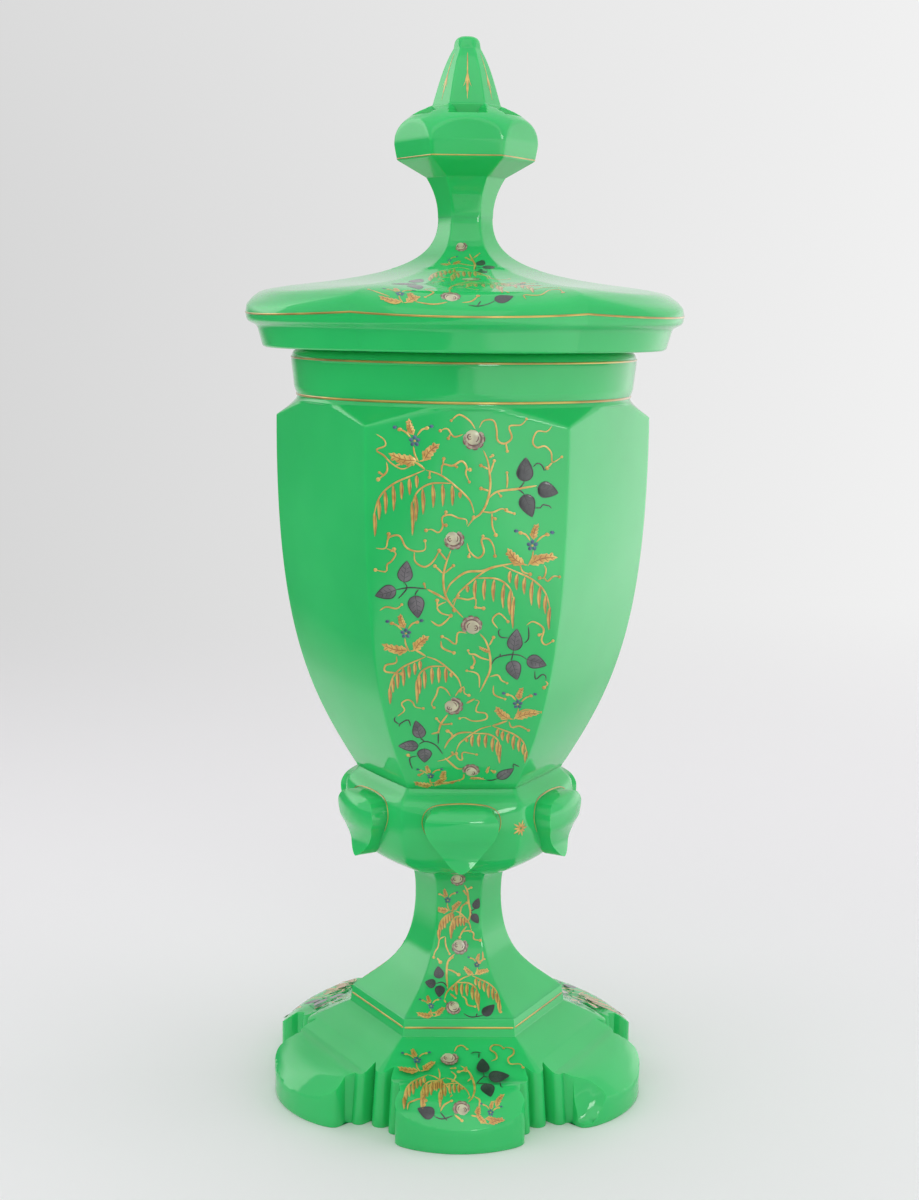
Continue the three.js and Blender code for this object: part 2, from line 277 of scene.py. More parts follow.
def makeBowl():
    low = [bowl["foot"] + (274 - bowl["foot"]) * k / 58 for k in range(59)]
    near = [276, 278] + [278 + 0.35 * k for k in range(1, 39)]
    outer = [(bowl["blank"], z) for z in low + near if z < bowl["blankTop"]]
    outer += [(bowlBlank(z), z) for z in near if z >= bowl["blankTop"]]
    neck = filletLine([(68.25, 291.7), (68.7, 293), (69.2, 298), (69.6, 301.4), (69.9, 304), (69.2, 306.8),
                       (67.4, 308.2), (66, bowl["neckTop"]), (64.8, bowl["neckTop"]), (bowl["bore"], 307.4),
                       (bowl["bore"], 300)], 1.2, 3)
    neck = [row for row in neck if row[1] > outer[-1][1] or row[0] < 66.5]
    hollow = filletLine([(bowl["bore"], 299), (62.3, 280), (62, 255), (60, 225), (54.4, 190), (44, 163),
                         (33, 149.6), (20, 144), (0, 143)], 9, 4)
    rows = [(0, bowl["foot"]), *outer, *neck, *hollow]
    cutRows = len(outer)
    bm, rowLayer = spinProfile(rows, 14, 2.0)

    def rule(row, radius, height, away):
        if 1 <= row <= cutRows:
            return smallest(radius, bowlFace(height, away), bowl["edge"]), height
        return radius, height

    reshape(bm, rowLayer, rule)
    finishPiece(bm, "bowl_glass", "vase", glass, ["bowl"])


makeBowl()
print("bowl made")

# Stem and collar
stem = {"waist": 18.3, "bottom": 38.3, "top": 93.2, "softness": 0.3}
stemLine = sweepLine([(44.5, stem["bottom"]), (30, 48.6), (19.3, 52.7), (stem["waist"], 78)], 36)
stemLine += sweepLine([(stem["waist"], 78.5), (stem["waist"], 86.5), (18.8, 90.8), (21.6, stem["top"])], 14)


def makeStem():
    rows = [(0, stem["bottom"]), *stemLine, (0, stem["top"])]
    bm, rowLayer = spinProfile(rows, 8, 1.8)
    reshape(bm, rowLayer, lambda row, radius, height, away: (
        sixSided(radius, away, 0, stem["softness"]), height))
    finishPiece(bm, "stem_glass", "vase", glass, ["stem"], angle=60)


collar = {
    "top": 134.6,
    "softness": 0.8,
    "ornamentRadius": 47.0,  # at a corner, where the stars are painted
}
collarCorner = smoothTable([(93.2, 21.6), (93.9, 24.5), (96.2, 31), (99.6, 38), (103, 42.3), (107.2, 45),
                            (113, 46.8), (119, 47.8), (125, 48), (128, 47.7), (129.8, 46.9), (131.2, 45.7),
                            (132.4, 44.4), (133.6, 43.4), (134.6, 42.8)])
collarRoundness = smoothTable([(93.2, 0), (96, 0.3), (99.6, 0.45), (103, 0.5), (113, 0.5), (119, 0.45),
                               (125, 0.35), (129, 0.2), (131.7, 0.1), (134.6, 0.08)])


def makeCollar():
    heights = ([stem["top"] + 0.4 * k for k in range(9)] + [97 + 1.1 * k for k in range(28)]
               + [128 + 0.3 * k for k in range(22)] + [collar["top"]])
    rows = [(0, heights[0])] + [(collarCorner(z), z) for z in heights] + [(0, heights[-1])]
    bm, rowLayer = spinProfile(rows, 12, 1.5)
    reshape(bm, rowLayer, lambda row, radius, height, away: (
        sixSided(radius, away, collarRoundness(height), collar["softness"]), height))
    finishPiece(bm, "collar_glass", "vase", glass, ["collar"], angle=60)


makeStem()
makeCollar()
print("stem and collar made")

# Finial: knob and spire, turned and then cut to six sides
finial = {
    "seam": 360.0,
    "neck": 11.2,
    "knobBottom": 375.7,
    "knobLowEdge": 382.3,
    "knob": 28.9,
    "knobTop": 402.2,
    "knobShoulder": 1.4,  # from the knob's top to the spire
    "knobTopCorner": 18.8,
    "spireBottom": 403.6,
    "spireCorner": 13.8,
    "spireTop": 425.4,
    "tip": 5.6,
    "top": 430.0,
    "edge": 0.5,
    "softness": 0.3,
    "tabWidth": 7.0,  # the flat tabs where the spire grows out of the knob
    "tabBottom": 399.0,
    "tabTop": 403.8,
    "tabDepth": 12.3,
}
knobBlank = smoothTable([(360, 34), (385, 34), (387, 30), (389, finial["knob"]), (391.7, 28.4),
                         (394.4, 27.3), (396.6, 25.6), (399, 22.7), (401.3, 18.8), (402.8, 15.6),
                         (403.8, 14.3), (404.6, 15.2), (406, 16), (421, 9), (424.4, 6.8), (425.6, 5.5),
                         (428, 4.9), (429.3, 4.1), (finial["top"], 2.8)])
knobNeck = sweepLine([(finial["neck"], finial["seam"]), (finial["neck"], 366), (13, 371),
                      (16, finial["knobBottom"])], 14)
spireLine = sweepLine([(finial["spireCorner"], finial["spireBottom"]), (11.5, 410.9), (9.8, 418.5),
                       (finial["tip"], finial["spireTop"])], 24)
neckCorner = smoothTable([(z, r) for r, z in knobNeck])
knobUnderside = smoothTable([(finial["knobBottom"], 16), (finial["knobLowEdge"], 27.6)])
knobSide = smoothTable([(finial["knobLowEdge"], 27.6), (386, 28.4), (389.7, finial["knob"]),
                        (398.6, finial["knob"]), (401, 22.4), (finial["knobTop"], finial["knobTopCorner"])])
spireCorner = smoothTable([(z, r) for r, z in spireLine])


def knobFaces(height):
    if height <= finial["knobBottom"]:
        return neckCorner(height)
    if height < finial["knobLowEdge"]:
        return knobUnderside(height)
    if height <= finial["knobTop"]:
        return knobSide(height)
    if height <= finial["spireBottom"]:
        narrowing = finial["spireCorner"] - finial["knobTopCorner"]
        return finial["knobTopCorner"] + narrowing * (height - finial["knobTop"]) / finial["knobShoulder"]
    if height <= finial["spireTop"]:
        return spireCorner(height)
    return finial["tip"]


def makeFinial():
    heights = ([360 + 0.8 * k for k in range(20)] + [375.7, 375.9, 377, 379, 381, 382.1, 382.5]
               + [383 + 0.9 * k for k in range(16)] + [397 + 0.25 * k for k in range(29)]
               + [404.6 + 1.3 * k for k in range(16)] + [424.6 + 0.3 * k for k in range(18)]
               + [finial["top"]])
    heights = sorted(set(round(z, 3) for z in heights if z <= finial["top"]))
    corners = {z: knobFaces(z) for z in heights}
    rows = [(0, heights[0])] + [(knobBlank(z), z) for z in heights] + [(0, heights[-1])]
    bm, rowLayer = spinProfile(rows, 12, 1.6)

    def rule(row, radius, height, away):
        if not 1 <= row <= len(heights):
            return radius, height
        corner = corners[heights[row - 1]]
        cut = smallest(radius, sixSided(corner, away, 0, finial["softness"]), finial["edge"])
        across = abs(cut * sin(away))
        if finial["tabBottom"] < height < finial["tabTop"] and across < finial["tabWidth"]:
            cut = min(cut, finial["tabDepth"] / cos(away))
        return cut, height

    reshape(bm, rowLayer, rule)
    finishPiece(bm, "finial_glass", "cover", glass, ["finial"], angle=50)


makeFinial()
print("finial made")

# Cover: a lobed rim and flange under a dome of six sweeping faces, hollow below
cover = {
    "arc": 72.0,
    "arcCentre": 17.5,
    "lineWave": 1.32,  # how much higher the gilt line and the top edge are at the notches
    "edgeWave": 2.9,
    "seat": 308.6,
    "rimOuter": 62.9,
    "rimInner": 57.5,
    "rimDepth": 11.6,
    "edge": 1.2,  # how softly the dome meets the rolled rim
    "crease": 1.2,  # how softly its six faces meet
    # the radii at which the rows of the rim and the top are spun, before they take the lobes' form
    "rimBlank": 89.0,
    "topBlank": 88.0,
    "flareFoot": 30.0,  # the corner distance at which the top becomes the flare
    "rimTop": 0.5,
}
flareLine = sweepLine([(finial["neck"], 359), (11.7, 343.4), (26.3, 337.1), (74.7, 332.6)], 40)
domeHeight = smoothTable([(r, z) for r, z in flareLine if r > 11.21]
                         + [(87, 330.9), (101, 329.2), (125, 326)])
# heights by how far in from the rim they lie, at the middle of a lobe and at a notch
lobeRoll = smoothTable([(cover["rimTop"], 324), (1.2, 324.8), (2, 325.4), (4, 326.6), (6, 327.9),
                        (8, 329.2), (9.5, 330.2), (14, 333), (30, 343), (60, 361)])
notchRoll = smoothTable([(cover["rimTop"], 326.9), (1.2, 328), (2.3, 329.1), (3.6, 330), (5.2, 330.7),
                         (9, 331.8), (14, 332.8), (30, 336.4), (60, 347.4)])


def lobeReach(away, inset):
    arc = cover["arc"] - inset
    across = cover["arcCentre"] * sin(away)
    return cover["arcCentre"] * cos(away) + sqrt(arc * arc - across * across)


def towardsNotch(away):
    return (2 * away / sideAngle) ** 2


def coverTop(radius, away):
    fromCorner = cornerAngle(away, cover["crease"], max(radius, 5))
    equal = radius * cos(sideAngle / 2 - fromCorner) / flatness
    inset = lobeReach(away, 0) - radius
    roll = lobeRoll(inset) + (notchRoll(inset) - lobeRoll(inset)) * towardsNotch(away)
    return smallest(domeHeight(equal), roll, cover["edge"])


def makeCover():
    rimRows = filletLine([(7.6, 308.6), (6.6, 309.2), (4.7, 316.2), (4.1, 317.2), (0.9, 318.8), (0.2, 320),
                          (0, 321.8), (0.5, 324)], 0.6, 3)
    rimRise = smoothTable([(318.8, 0), (320, 0.5), (321.6, cover["lineWave"]), (324, cover["edgeWave"])])
    topShares = [0.03, 0.06, 0.1, 0.14, 0.18, 0.23, 0.29, 0.36, 0.44, 0.52, 0.6, 0.68, 0.76, 0.84, 0.92, 1]
    flareRows = [row for row in reversed(flareLine) if row[0] < cover["flareFoot"]]
    inner, outer, seat = cover["rimInner"], cover["rimOuter"], cover["seat"]
    rimBottom = seat - cover["rimDepth"]
    under = filletLine([(inner, seat), (inner, rimBottom), (outer - 0.8, rimBottom), (outer, rimBottom + 1),
                        (outer, seat), (76, seat)], 0.5, 3)[1:]
    hollow = filletLine([(0, 332.2), (28, 331.2), (46, 329), (55, 325.4), (inner, 320), (inner, 306)], 4, 4)
    rows = [(r, z, "round") for r, z in hollow + under]
    rows += [(cover["rimBlank"] - inset, z, "rim", inset) for inset, z in rimRows]
    topWidth = cover["topBlank"] - cover["flareFoot"]
    rows += [(cover["topBlank"] - topWidth * share, 330, "top", share) for share in topShares]
    rows += [(r, z, "flare") for r, z in flareRows]
    rows += [(finial["neck"], finial["seam"], "flare"), (0, finial["seam"], "round")]
    bm, rowLayer = spinProfile(rows, 14, 1.6)

    def rule(row, radius, height, away):
        kind = rows[row][2]
        if kind == "rim":
            return lobeReach(away, rows[row][3]), height + rimRise(height) * towardsNotch(away)
        if kind == "top":
            start = lobeReach(away, cover["rimTop"])
            end = sixSided(cover["flareFoot"], away, 0, 0.6)
            spread = start + (end - start) * rows[row][3]
            return spread, coverTop(spread, away)
        if kind == "flare":
            return sixSided(radius, away, 0, 0.5), height
        return radius, height

    reshape(bm, rowLayer, rule)
    finishPiece(bm, "cover_glass", "cover", glass, ["cover"], angle=60)


makeCover()
print("cover made")


# Plates with a free outline: the bosses and the foot's slab. The outline is filled, its rim is inset in
# thin rings for a soft edge, and the face inside is sliced, so that it can follow a curved top
def outlinePlate(outline, insets):
    bm = bmesh.new()
    insetLayer = bm.verts.layers.float.new("inset")
    face = bm.faces.new([bm.verts.new((x, y, 0)) for x, y in outline])
    face.normal_update()
    if face.normal.z < 0:
        face.normal_flip()
    depth = 0.0
    for inset in insets:
        bmesh.ops.inset_region(bm, faces=[face], thickness=inset - depth, use_even_offset=True)
        depth = inset
        for vert in face.verts:
            vert[insetLayer] = depth
    return bm, insetLayer


def slicePlate(bm, point, normal, keep=None):
    faces = [f for f in bm.faces if keep is None or keep(f.calc_center_median())]
    verts = dict.fromkeys(v for f in faces for v in f.verts)  # each once, always in the same order
    edges = dict.fromkeys(e for f in faces for e in f.edges)
    bmesh.ops.bisect_plane(bm, geom=[*verts, *edges, *faces], dist=1e-5, plane_co=point, plane_no=normal)


def extendRim(bm, edges):
    # a new band along the edges, with its own outer vertices and edges
    band = bmesh.ops.extrude_edge_only(bm, edges=edges)["geom"]
    verts = {g for g in band if isinstance(g, bmesh.types.BMVert)}
    newEdges = [g for g in band if isinstance(g, bmesh.types.BMEdge)]
    return verts, [e for e in newEdges if all(v in verts for v in e.verts)]


def softRim(inset, radius):
    # how far a rounded rim lies below the plate's top
    if inset >= radius:
        return 0.0
    return radius - sqrt(radius * radius - (radius - inset) ** 2)


# Boss: a shield with a crowned front, a nip across it and a turned-out tip
boss = {
    "halfWidth": 14.7,
    "top": 129.2,
    "tip": 102.8,
    "widest": 121.8,
    "edge": 1.8,
    "back": 41.0,
    "names": ["boss_front", "boss_front_right", "boss_back_right", "boss_back", "boss_back_left",
              "boss_front_left"],
}
bossReach = smoothTable([(100, 50.4), (104.6, 49.2), (109, 48.2), (113, 49.2), (118, 51.4), (123.6, 51.9),
                         (127.4, 50.6), (129.6, 48.4)])


def shieldOutline():
    w = boss["halfWidth"]
    half = []
    for controls in (
            [(0, boss["tip"]), (w * 0.2, 103.2), (w * 0.45, 107.8), (w * 0.66, 111.8)],
            [(w * 0.66, 111.8), (w * 0.88, 116), (w, 119.2), (w, boss["widest"])],
            [(w, boss["widest"]), (w, 125.8), (w * 0.86, 128.1), (w * 0.55, 128.7)],
            [(w * 0.55, 128.7), (w * 0.3, 129.1), (w * 0.12, boss["top"]), (0, boss["top"])]):
        half += sweepLine(controls, 12)[:-1]
    mirrored = [(-x, z) for x, z in reversed(half[1:])]
    return half + [(0, boss["top"])] + mirrored


def makeBoss(k):
    bm, insetLayer = outlinePlate(shieldOutline(), [0.15, 0.35, 0.65, 1.0, 1.4, 1.8])
    for z in range(101, 129):
        slicePlate(bm, (0, z + 0.37, 0), (0, 1, 0))
    for x in range(-12, 13, 3):
        slicePlate(bm, (x + 0.11, 0, 0), (1, 0, 0))
    rim = [e for e in bm.edges if e.is_boundary]
    front = list(bm.verts)
    for vert in front:
        x, z = vert.co.x, vert.co.y
        reach = sqrt(bossReach(z) ** 2 - x * x) - softRim(vert[insetLayer], boss["edge"])
        vert.co = (x, -reach, z)
    back, backEdges = extendRim(bm, rim)
    for vert in back:
        vert.co.y = -boss["back"]
    bmesh.ops.contextual_create(bm, geom=backEdges)
    bmesh.ops.rotate(bm, verts=bm.verts, cent=(0, 0, 0), matrix=Matrix.Rotation(k * sideAngle, 3, "Z"))
    name = boss["names"][k]
    finishPiece(bm, name + "_glass", "vase", glass, [name], angle=60)


for k in range(sides):
    makeBoss(k)
print("bosses made")

# Foot: six tongues with rolled ends, three small pillars in each gap, and a hexagonal riser
foot = {
    "tip": 81.4,
    "tipArc": 46.0,
    "tipHalfWidth": 20.6,
    "sideHalfWidth": 25.5,
    "corner": 71.5,
    "waist": (66.6, 23.5),  # how far out and how far to the side of a tongue's middle line
    "sidePillar": (66.0, 8.7, 2.9),  # the same from a gap's middle line, and its radius
    "groove": (62.7, 4.7),
    "middlePillar": (63.2, 3.6),  # how far out, and its radius
    "lean": 3.0,  # how far the gaps' walls lean in at their top
    "gapTop": 24.0,
    "gapSides": (18.5, 22.0),  # degrees from a tongue's middle, between which the lean sets in
    "gapInner": (48.0, 60.0),
    "gapOuter": (69.3, 70.5),
    "rollStart": 66.0,  # how far out a tongue starts to roll over
    "riser": 39.75,  # from the axis to its flats
    "riserTop": 38.3,
    "edge": 0.55,
    "crease": 0.5,  # how softly the sloping faces meet
    "rollEdge": 1.2,  # how softly a tongue's slope meets its rolled end
    "bottomBevel": 0.5,
    "hollow": 15.0,
}
slopeHeight = smoothTable([(38, 31.6), (40, 30.9), (45, 28.9), (50.2, 26.9), (59.8, 23.2), (66.7, 20.5),
                           (73, 18.9), (79.7, 17.5), (90, 16.4)])
rollOverHeight = smoothTable([(50, 40), (64, 24), (68, 21.6), (72, 19.2), (75, 17), (77.4, 14.9),
                              (79.5, 12.3), (80.8, 10.6), (foot["tip"], 9.7), (84, 6)])


def arcPoints(cx, cy, radius, start, end, steps):
    angles = [start + (end - start) * k / steps for k in range(steps + 1)]
    return [(cx + radius * cos(a), cy + radius * sin(a)) for a in angles]


def footOutline():
    # half a tongue along +X, up to the middle of the next gap, is mirrored and turned to each heading
    tipAngle = asin(foot["tipHalfWidth"] / foot["tipArc"])
    centre = foot["tip"] - foot["tipArc"]
    half = arcPoints(centre, 0, foot["tipArc"], 0, tipAngle, 14)
    end, side = foot["corner"], foot["sideHalfWidth"]
    half += sweepLine([half[-1], (end + 3.2, side - 1.7), (end + 1.6, side), (end, side)], 8)[1:]
    along, across = foot["waist"]
    half += sweepLine([half[-1], (end - 2.2, side), (along + 1.6, across + 1), (along, across)], 6)[1:]
    sideAlong, sideAcross, sideRadius = foot["sidePillar"]
    middleAlong, middleRadius = foot["middlePillar"]
    gap = arcPoints(sideAlong, -sideAcross, sideRadius, -0.75, 1.35, 10)
    gap += [(foot["groove"][0], -foot["groove"][1])]
    gap += arcPoints(middleAlong, 0, middleRadius, -1.3, 0, 9)
    turn = sideAngle / 2
    half += [(a * cos(turn) - c * sin(turn), a * sin(turn) + c * cos(turn)) for a, c in gap]
    tongue = [(x, -y) for x, y in reversed(half[1:])] + half[:-1]
    outline = []
    for k in range(sides):
        a = k * sideAngle - pi / 2
        outline += [(x * cos(a) - y * sin(a), x * sin(a) + y * cos(a)) for x, y in tongue]
    return outline


def footTop(x, y):
    radius = hypot(x, y)
    away = fromFace(headingOf(x, y))
    along = radius * cos(sideAngle / 2 - cornerAngle(away, foot["crease"], max(radius, 5)))
    return smallest(slopeHeight(along), rollOverHeight(radius), foot["rollEdge"])


def inTongue(k):
    def test(centre):
        heading = headingOf(centre.x, centre.y)
        difference = heading - k * sideAngle
        difference -= 2 * pi * round(difference / (2 * pi))
        return abs(difference) < sideAngle / 2
    return test


chip = {
    "tongue": 1,  # the one to the right of the front one
    "along": 91.6,
    "across": -47.4,
    "height": 20.0,
    "radius": 34.6,
    "struck": (-0.6, 0.1, 0.5),  # the way from the ball's middle to where the ripples start
    "ripple": 0.13,
    "ripples": 32,  # in radians of ripple for each radian of the ball
    "torn": 1.6,  # how deep the break is torn below
    "tornGrain": 17,
    "tornFrom": (-0.4, -0.5),
}


def chipShape():
    # a ball whose surface ripples away from the point where the glass was struck, and is torn below
    bm = bmesh.new()
    bmesh.ops.create_uvsphere(bm, u_segments=96, v_segments=84, radius=chip["radius"])
    struck = Vector(chip["struck"]).normalized()
    for vert in bm.verts:
        out = vert.co.normalized()
        rings = sin(chip["ripples"] * acos(max(-1.0, min(1.0, out.dot(struck)))))
        torn = noise.noise(out * chip["tornGrain"]) * stepUp(*chip["tornFrom"], out.z)
        vert.co *= 1 + (chip["ripple"] * rings + chip["torn"] * torn) / chip["radius"]
    a = chip["tongue"] * sideAngle
    along, across = chip["along"], chip["across"]
    bmesh.ops.translate(bm, verts=bm.verts, vec=(along * sin(a) + across * cos(a),
                                                 across * sin(a) - along * cos(a), chip["height"]))
    return bm


def cutChip(bm):
    closeSurface(bm)
    pair = []
    for name, source in (("whole_foot", bm), ("chip_shape", chipShape())):
        mesh = bpy.data.meshes.new(name)
        source.to_mesh(mesh)
        pair.append(bpy.data.objects.new(name, mesh))
        bpy.context.scene.collection.objects.link(pair[-1])
    whole, cutter = pair
    cut = whole.modifiers.new("chip", "BOOLEAN")
    cut.operation = "DIFFERENCE"
    cut.solver = "EXACT"
    cut.object = cutter
    chipped = bpy.data.meshes.new_from_object(whole.evaluated_get(bpy.context.evaluated_depsgraph_get()))
    bm.clear()
    bm.from_mesh(chipped)
    for spare in (whole.data, cutter.data, chipped):
        bpy.data.meshes.remove(spare)


def outAlongFace(vert):
    # how far out a vertex lies, measured square to the nearest face
    return hypot(vert.co.x, vert.co.y) * cos(fromFace(headingOf(vert.co.x, vert.co.y)))


def makeFoot():
    rimFrom = 37  # what lies further out on the riser's hexagon is its rim
    bevelStart, bevelScale = 0.94, 0.995  # where on the wall the bevel starts, and how far it draws in
    bm, insetLayer = outlinePlate(footOutline(), [0.1, 0.25, 0.55])
    # narrow strips along the creases between the sloping faces, then slices across each tongue, and
    # lengthwise ones where it rolls over
    for k in range(3):
        a = (k + 0.5) * sideAngle
        for offset in (0, -0.4, 0.4, -1.2, 1.2):
            normal = (cos(a), sin(a), 0)
            slicePlate(bm, (cos(a) * offset, sin(a) * offset, 0), normal)
    distances = [foot["riser"], 43, 47, 51, 55, 59, 62, 65, 67, 69] + [70 + 0.8 * n for n in range(15)]
    for k in range(sides):
        a = k * sideAngle - pi / 2
        keep = inTongue(k)
        for distance in distances:
            slicePlate(bm, (cos(a) * distance, sin(a) * distance, 0), (cos(a), sin(a), 0), keep)
        for across in range(-24, 25, 3):
            slicePlate(bm, (-sin(a) * across, cos(a) * across, 0), (-sin(a), cos(a), 0),
                       lambda c, keep=keep, a=a:
                       keep(c) and c.x * cos(a) + c.y * sin(a) > foot["rollStart"])
    rim = [e for e in bm.edges if e.is_boundary]
    inner = [f for f in bm.faces if max(outAlongFace(v) for v in f.verts) < foot["riser"] + 0.15]
    for vert in bm.verts:
        vert.co.z = footTop(vert.co.x, vert.co.y) - softRim(vert[insetLayer], foot["edge"])
    # the riser stands on the hexagon in the middle, whose rim draws in a little at each step
    for height, scale in ((31.4, 0.995), (37.6, 0.975), (38.1, 0.968), (foot["riserTop"], 0.955)):
        raised = bmesh.ops.extrude_face_region(bm, geom=inner)["geom"]
        for face in inner:
            bm.faces.remove(face)
        inner = [g for g in raised if isinstance(g, bmesh.types.BMFace)]
        for vert in dict.fromkeys(v for f in inner for v in f.verts):
            vert.co.z = height
            along = outAlongFace(vert)
            if along > rimFrom:
                vert.co.x *= foot["riser"] * scale / along
                vert.co.y *= foot["riser"] * scale / along
    # the walls go down to the table, with a small bevel at the bottom
    edges = rim
    bevel = foot["bottomBevel"]
    for share in (0.25, 0.5, 0.75, bevelStart, 1.0):
        lowVerts, edges = extendRim(bm, edges)
        for vert in lowVerts:
            top = footTop(vert.co.x, vert.co.y) - foot["edge"]
            vert.co.z = bevel + (top - bevel) * (1 - share / bevelStart) if share < 1.0 else 0.0
            if share == 1.0:
                vert.co.x *= bevelScale
                vert.co.y *= bevelScale
    bottom = bmesh.ops.create_circle(bm, segments=60, radius=foot["hollow"])["verts"]
    circleEdges = list(dict.fromkeys(e for v in bottom for e in v.link_edges))
    bmesh.ops.bridge_loops(bm, edges=edges + circleEdges)
    hollow = circleEdges
    for radius, height in ((12, 0.5), (8, 1.1), (4, 1.4)):
        ringVerts, hollow = extendRim(bm, hollow)
        for vert in ringVerts:
            scale = radius / hypot(vert.co.x, vert.co.y)
            vert.co = (vert.co.x * scale, vert.co.y * scale, height)
    bmesh.ops.contextual_create(bm, geom=hollow)
    # the gaps' walls lean in towards the top
    sideStart, sideEnd = (radians(angle) for angle in foot["gapSides"])
    for vert in bm.verts:
        radius = hypot(vert.co.x, vert.co.y)
        if radius < foot["gapInner"][0]:
            continue
        away = fromFace(headingOf(vert.co.x, vert.co.y))
        inGap = (stepUp(sideStart, sideEnd, abs(away)) * (1 - stepUp(*foot["gapOuter"], radius))
                 * stepUp(*foot["gapInner"], radius))
        shift = foot["lean"] * inGap * max(0.0, min(1.0, vert.co.z / foot["gapTop"]))
        vert.co.x *= 1 - shift / radius
        vert.co.y *= 1 - shift / radius
    cutChip(bm)
    finishPiece(bm, "foot_glass", "vase", glass, ["foot"], angle=40)


makeFoot()
print("foot made")


# Painting: raised enamel and gilding. Each painted face is a panel, whose point(u, v) gives a place and
# a normal, as long as the relief of the paint there: u runs to the right, v runs up the face, both in mm
paint = {
    "line": 0.75,
    "vine": 0.95,
    "raise": 0.3,
    "stepLength": 0.5,
    "ringLength": 0.75,
    "clearance": 0.015,
    "margin": 0.4,  # what stays free along a face's edges
    "sharpAngle": 70,
    "coat": 0.7,
    "coatRoughness": 0.08,
    "toneEnds": (0.38, 0.6),
}


def facePanel(line, relief, direction=1, bend=None):
    lengths = [0.0]
    for a, b in zip(line, line[1:]):
        lengths.append(lengths[-1] + hypot(b[0] - a[0], b[1] - a[1]))

    def point(u, v):
        s = min(max(v * direction, 0.0), lengths[-1] - 1e-4)
        i = min(bisect_right(lengths, s), len(line) - 1) - 1
        (d0, z0), (d1, z1) = line[i], line[i + 1]
        step = lengths[i + 1] - lengths[i]
        share = (s - lengths[i]) / step
        tangent = ((d1 - d0) / step * direction, (z1 - z0) / step * direction)
        away, height = d0 + (d1 - d0) * share, z0 + (z1 - z0) * share
        if bend:
            away, height = bend(u, away, height)
        edge = away * sin(sideAngle / 2) / flatness - paint["margin"]
        u = max(-edge, min(edge, u))
        normal = Vector((0, -tangent[1], -tangent[0]))
        return Vector((u, -away, height)) + normal * paint["clearance"], normal * relief

    return point


bends = {
    "neckEnds": 11.5,
    "domeEnds": 60.0,
    "rimBend": (62.0, 80.0),
    "footDrop": 1.2,  # how far down the foot's paint follows its rolled ends
}


def bowlBend(u, away, height):
    angle = atan2(u, away)
    return bowlFace(height, angle) * cos(angle), height


def coverBend(u, away, height):
    # on the neck the line's own height holds. Further out it is the dome's, and near the rim the paint
    # bends with the lobe's round edge
    if away <= bends["neckEnds"]:
        return away, height
    if away >= bends["domeEnds"]:
        centre = cover["arcCentre"]
        onArc = centre + sqrt((away - centre) ** 2 - u * u)
        away += (onArc - away) * stepUp(*bends["rimBend"], away)
    return away, coverTop(hypot(u, away), atan2(u, away))


def footBend(u, away, height):
    # the paint follows the rolled end of the tongue, and stops where that turns down
    return away, max(footTop(u, -away), height - bends["footDrop"])


bowlPanel = facePanel([(bellyCorner(z) * flatness, z) for z in range(135, 288)], 0.55, 1, bowlBend)
stemPanel = facePanel([(r * flatness, z) for r, z in stemLine], 0.32)
footLine = [(40 + 0.5 * k, footTop(0, -40 - 0.5 * k)) for k in range(83)]
footPanel = facePanel(footLine, 0.1, -1, footBend)
footSidePanel = facePanel(footLine, 0.02, -1, footBend)
coverPaintLine = ([(r * flatness, z) for r, z in flareLine if r < 11.9]
                  + [(10.4 + 0.5 * k, coverTop(10.4 + 0.5 * k, 0)) for k in range(157)])
coverPanel = facePanel(coverPaintLine, 0.12, -1, coverBend)
coverSidePanel = facePanel(coverPaintLine, 0.04, -1, coverBend)
spirePanel = facePanel([(r * flatness, z) for r, z in spireLine], 0.5)


def widthAlong(kind, t):
    # how wide a stroke is along its length, from 0 to 1
    if kind == "line":
        return sin(pi * t) ** 0.35
    if kind == "tail":
        return sin(pi * t) ** 0.4 * (1 - 0.55 * t)
    if kind == "drop":
        return sin(pi * t ** 0.75) ** 0.8
    if kind == "leaf":
        return sin(pi * t ** 0.72) ** 0.75 * (1 - 0.15 * t)
    return sin(pi * t) ** 0.5  # a round dot


def smoothPath(points, spacing):
    # a smooth line through the points, in steps of about the spacing
    if len(points) == 2:
        a, b = points
        steps = max(2, int(hypot(b[0] - a[0], b[1] - a[1]) / spacing))
        return [(a[0] + (b[0] - a[0]) * k / steps, a[1] + (b[1] - a[1]) * k / steps)
                for k in range(steps + 1)]
    padded = [points[0], *points, points[-1]]
    path = [points[0]]
    for p0, p1, p2, p3 in zip(padded, padded[1:], padded[2:], padded[3:]):
        steps = max(2, int(hypot(p2[0] - p1[0], p2[1] - p1[1]) / spacing))
        for k in range(1, steps + 1):
            t = k / steps
            path.append(tuple(0.5 * (2 * b + (c - a) * t + (2 * a - 5 * b + 4 * c - d) * t * t
                                     + (3 * b - a - 3 * c + d) * t**3)
                              for a, b, c, d in zip(p0, p1, p2, p3)))
    return path


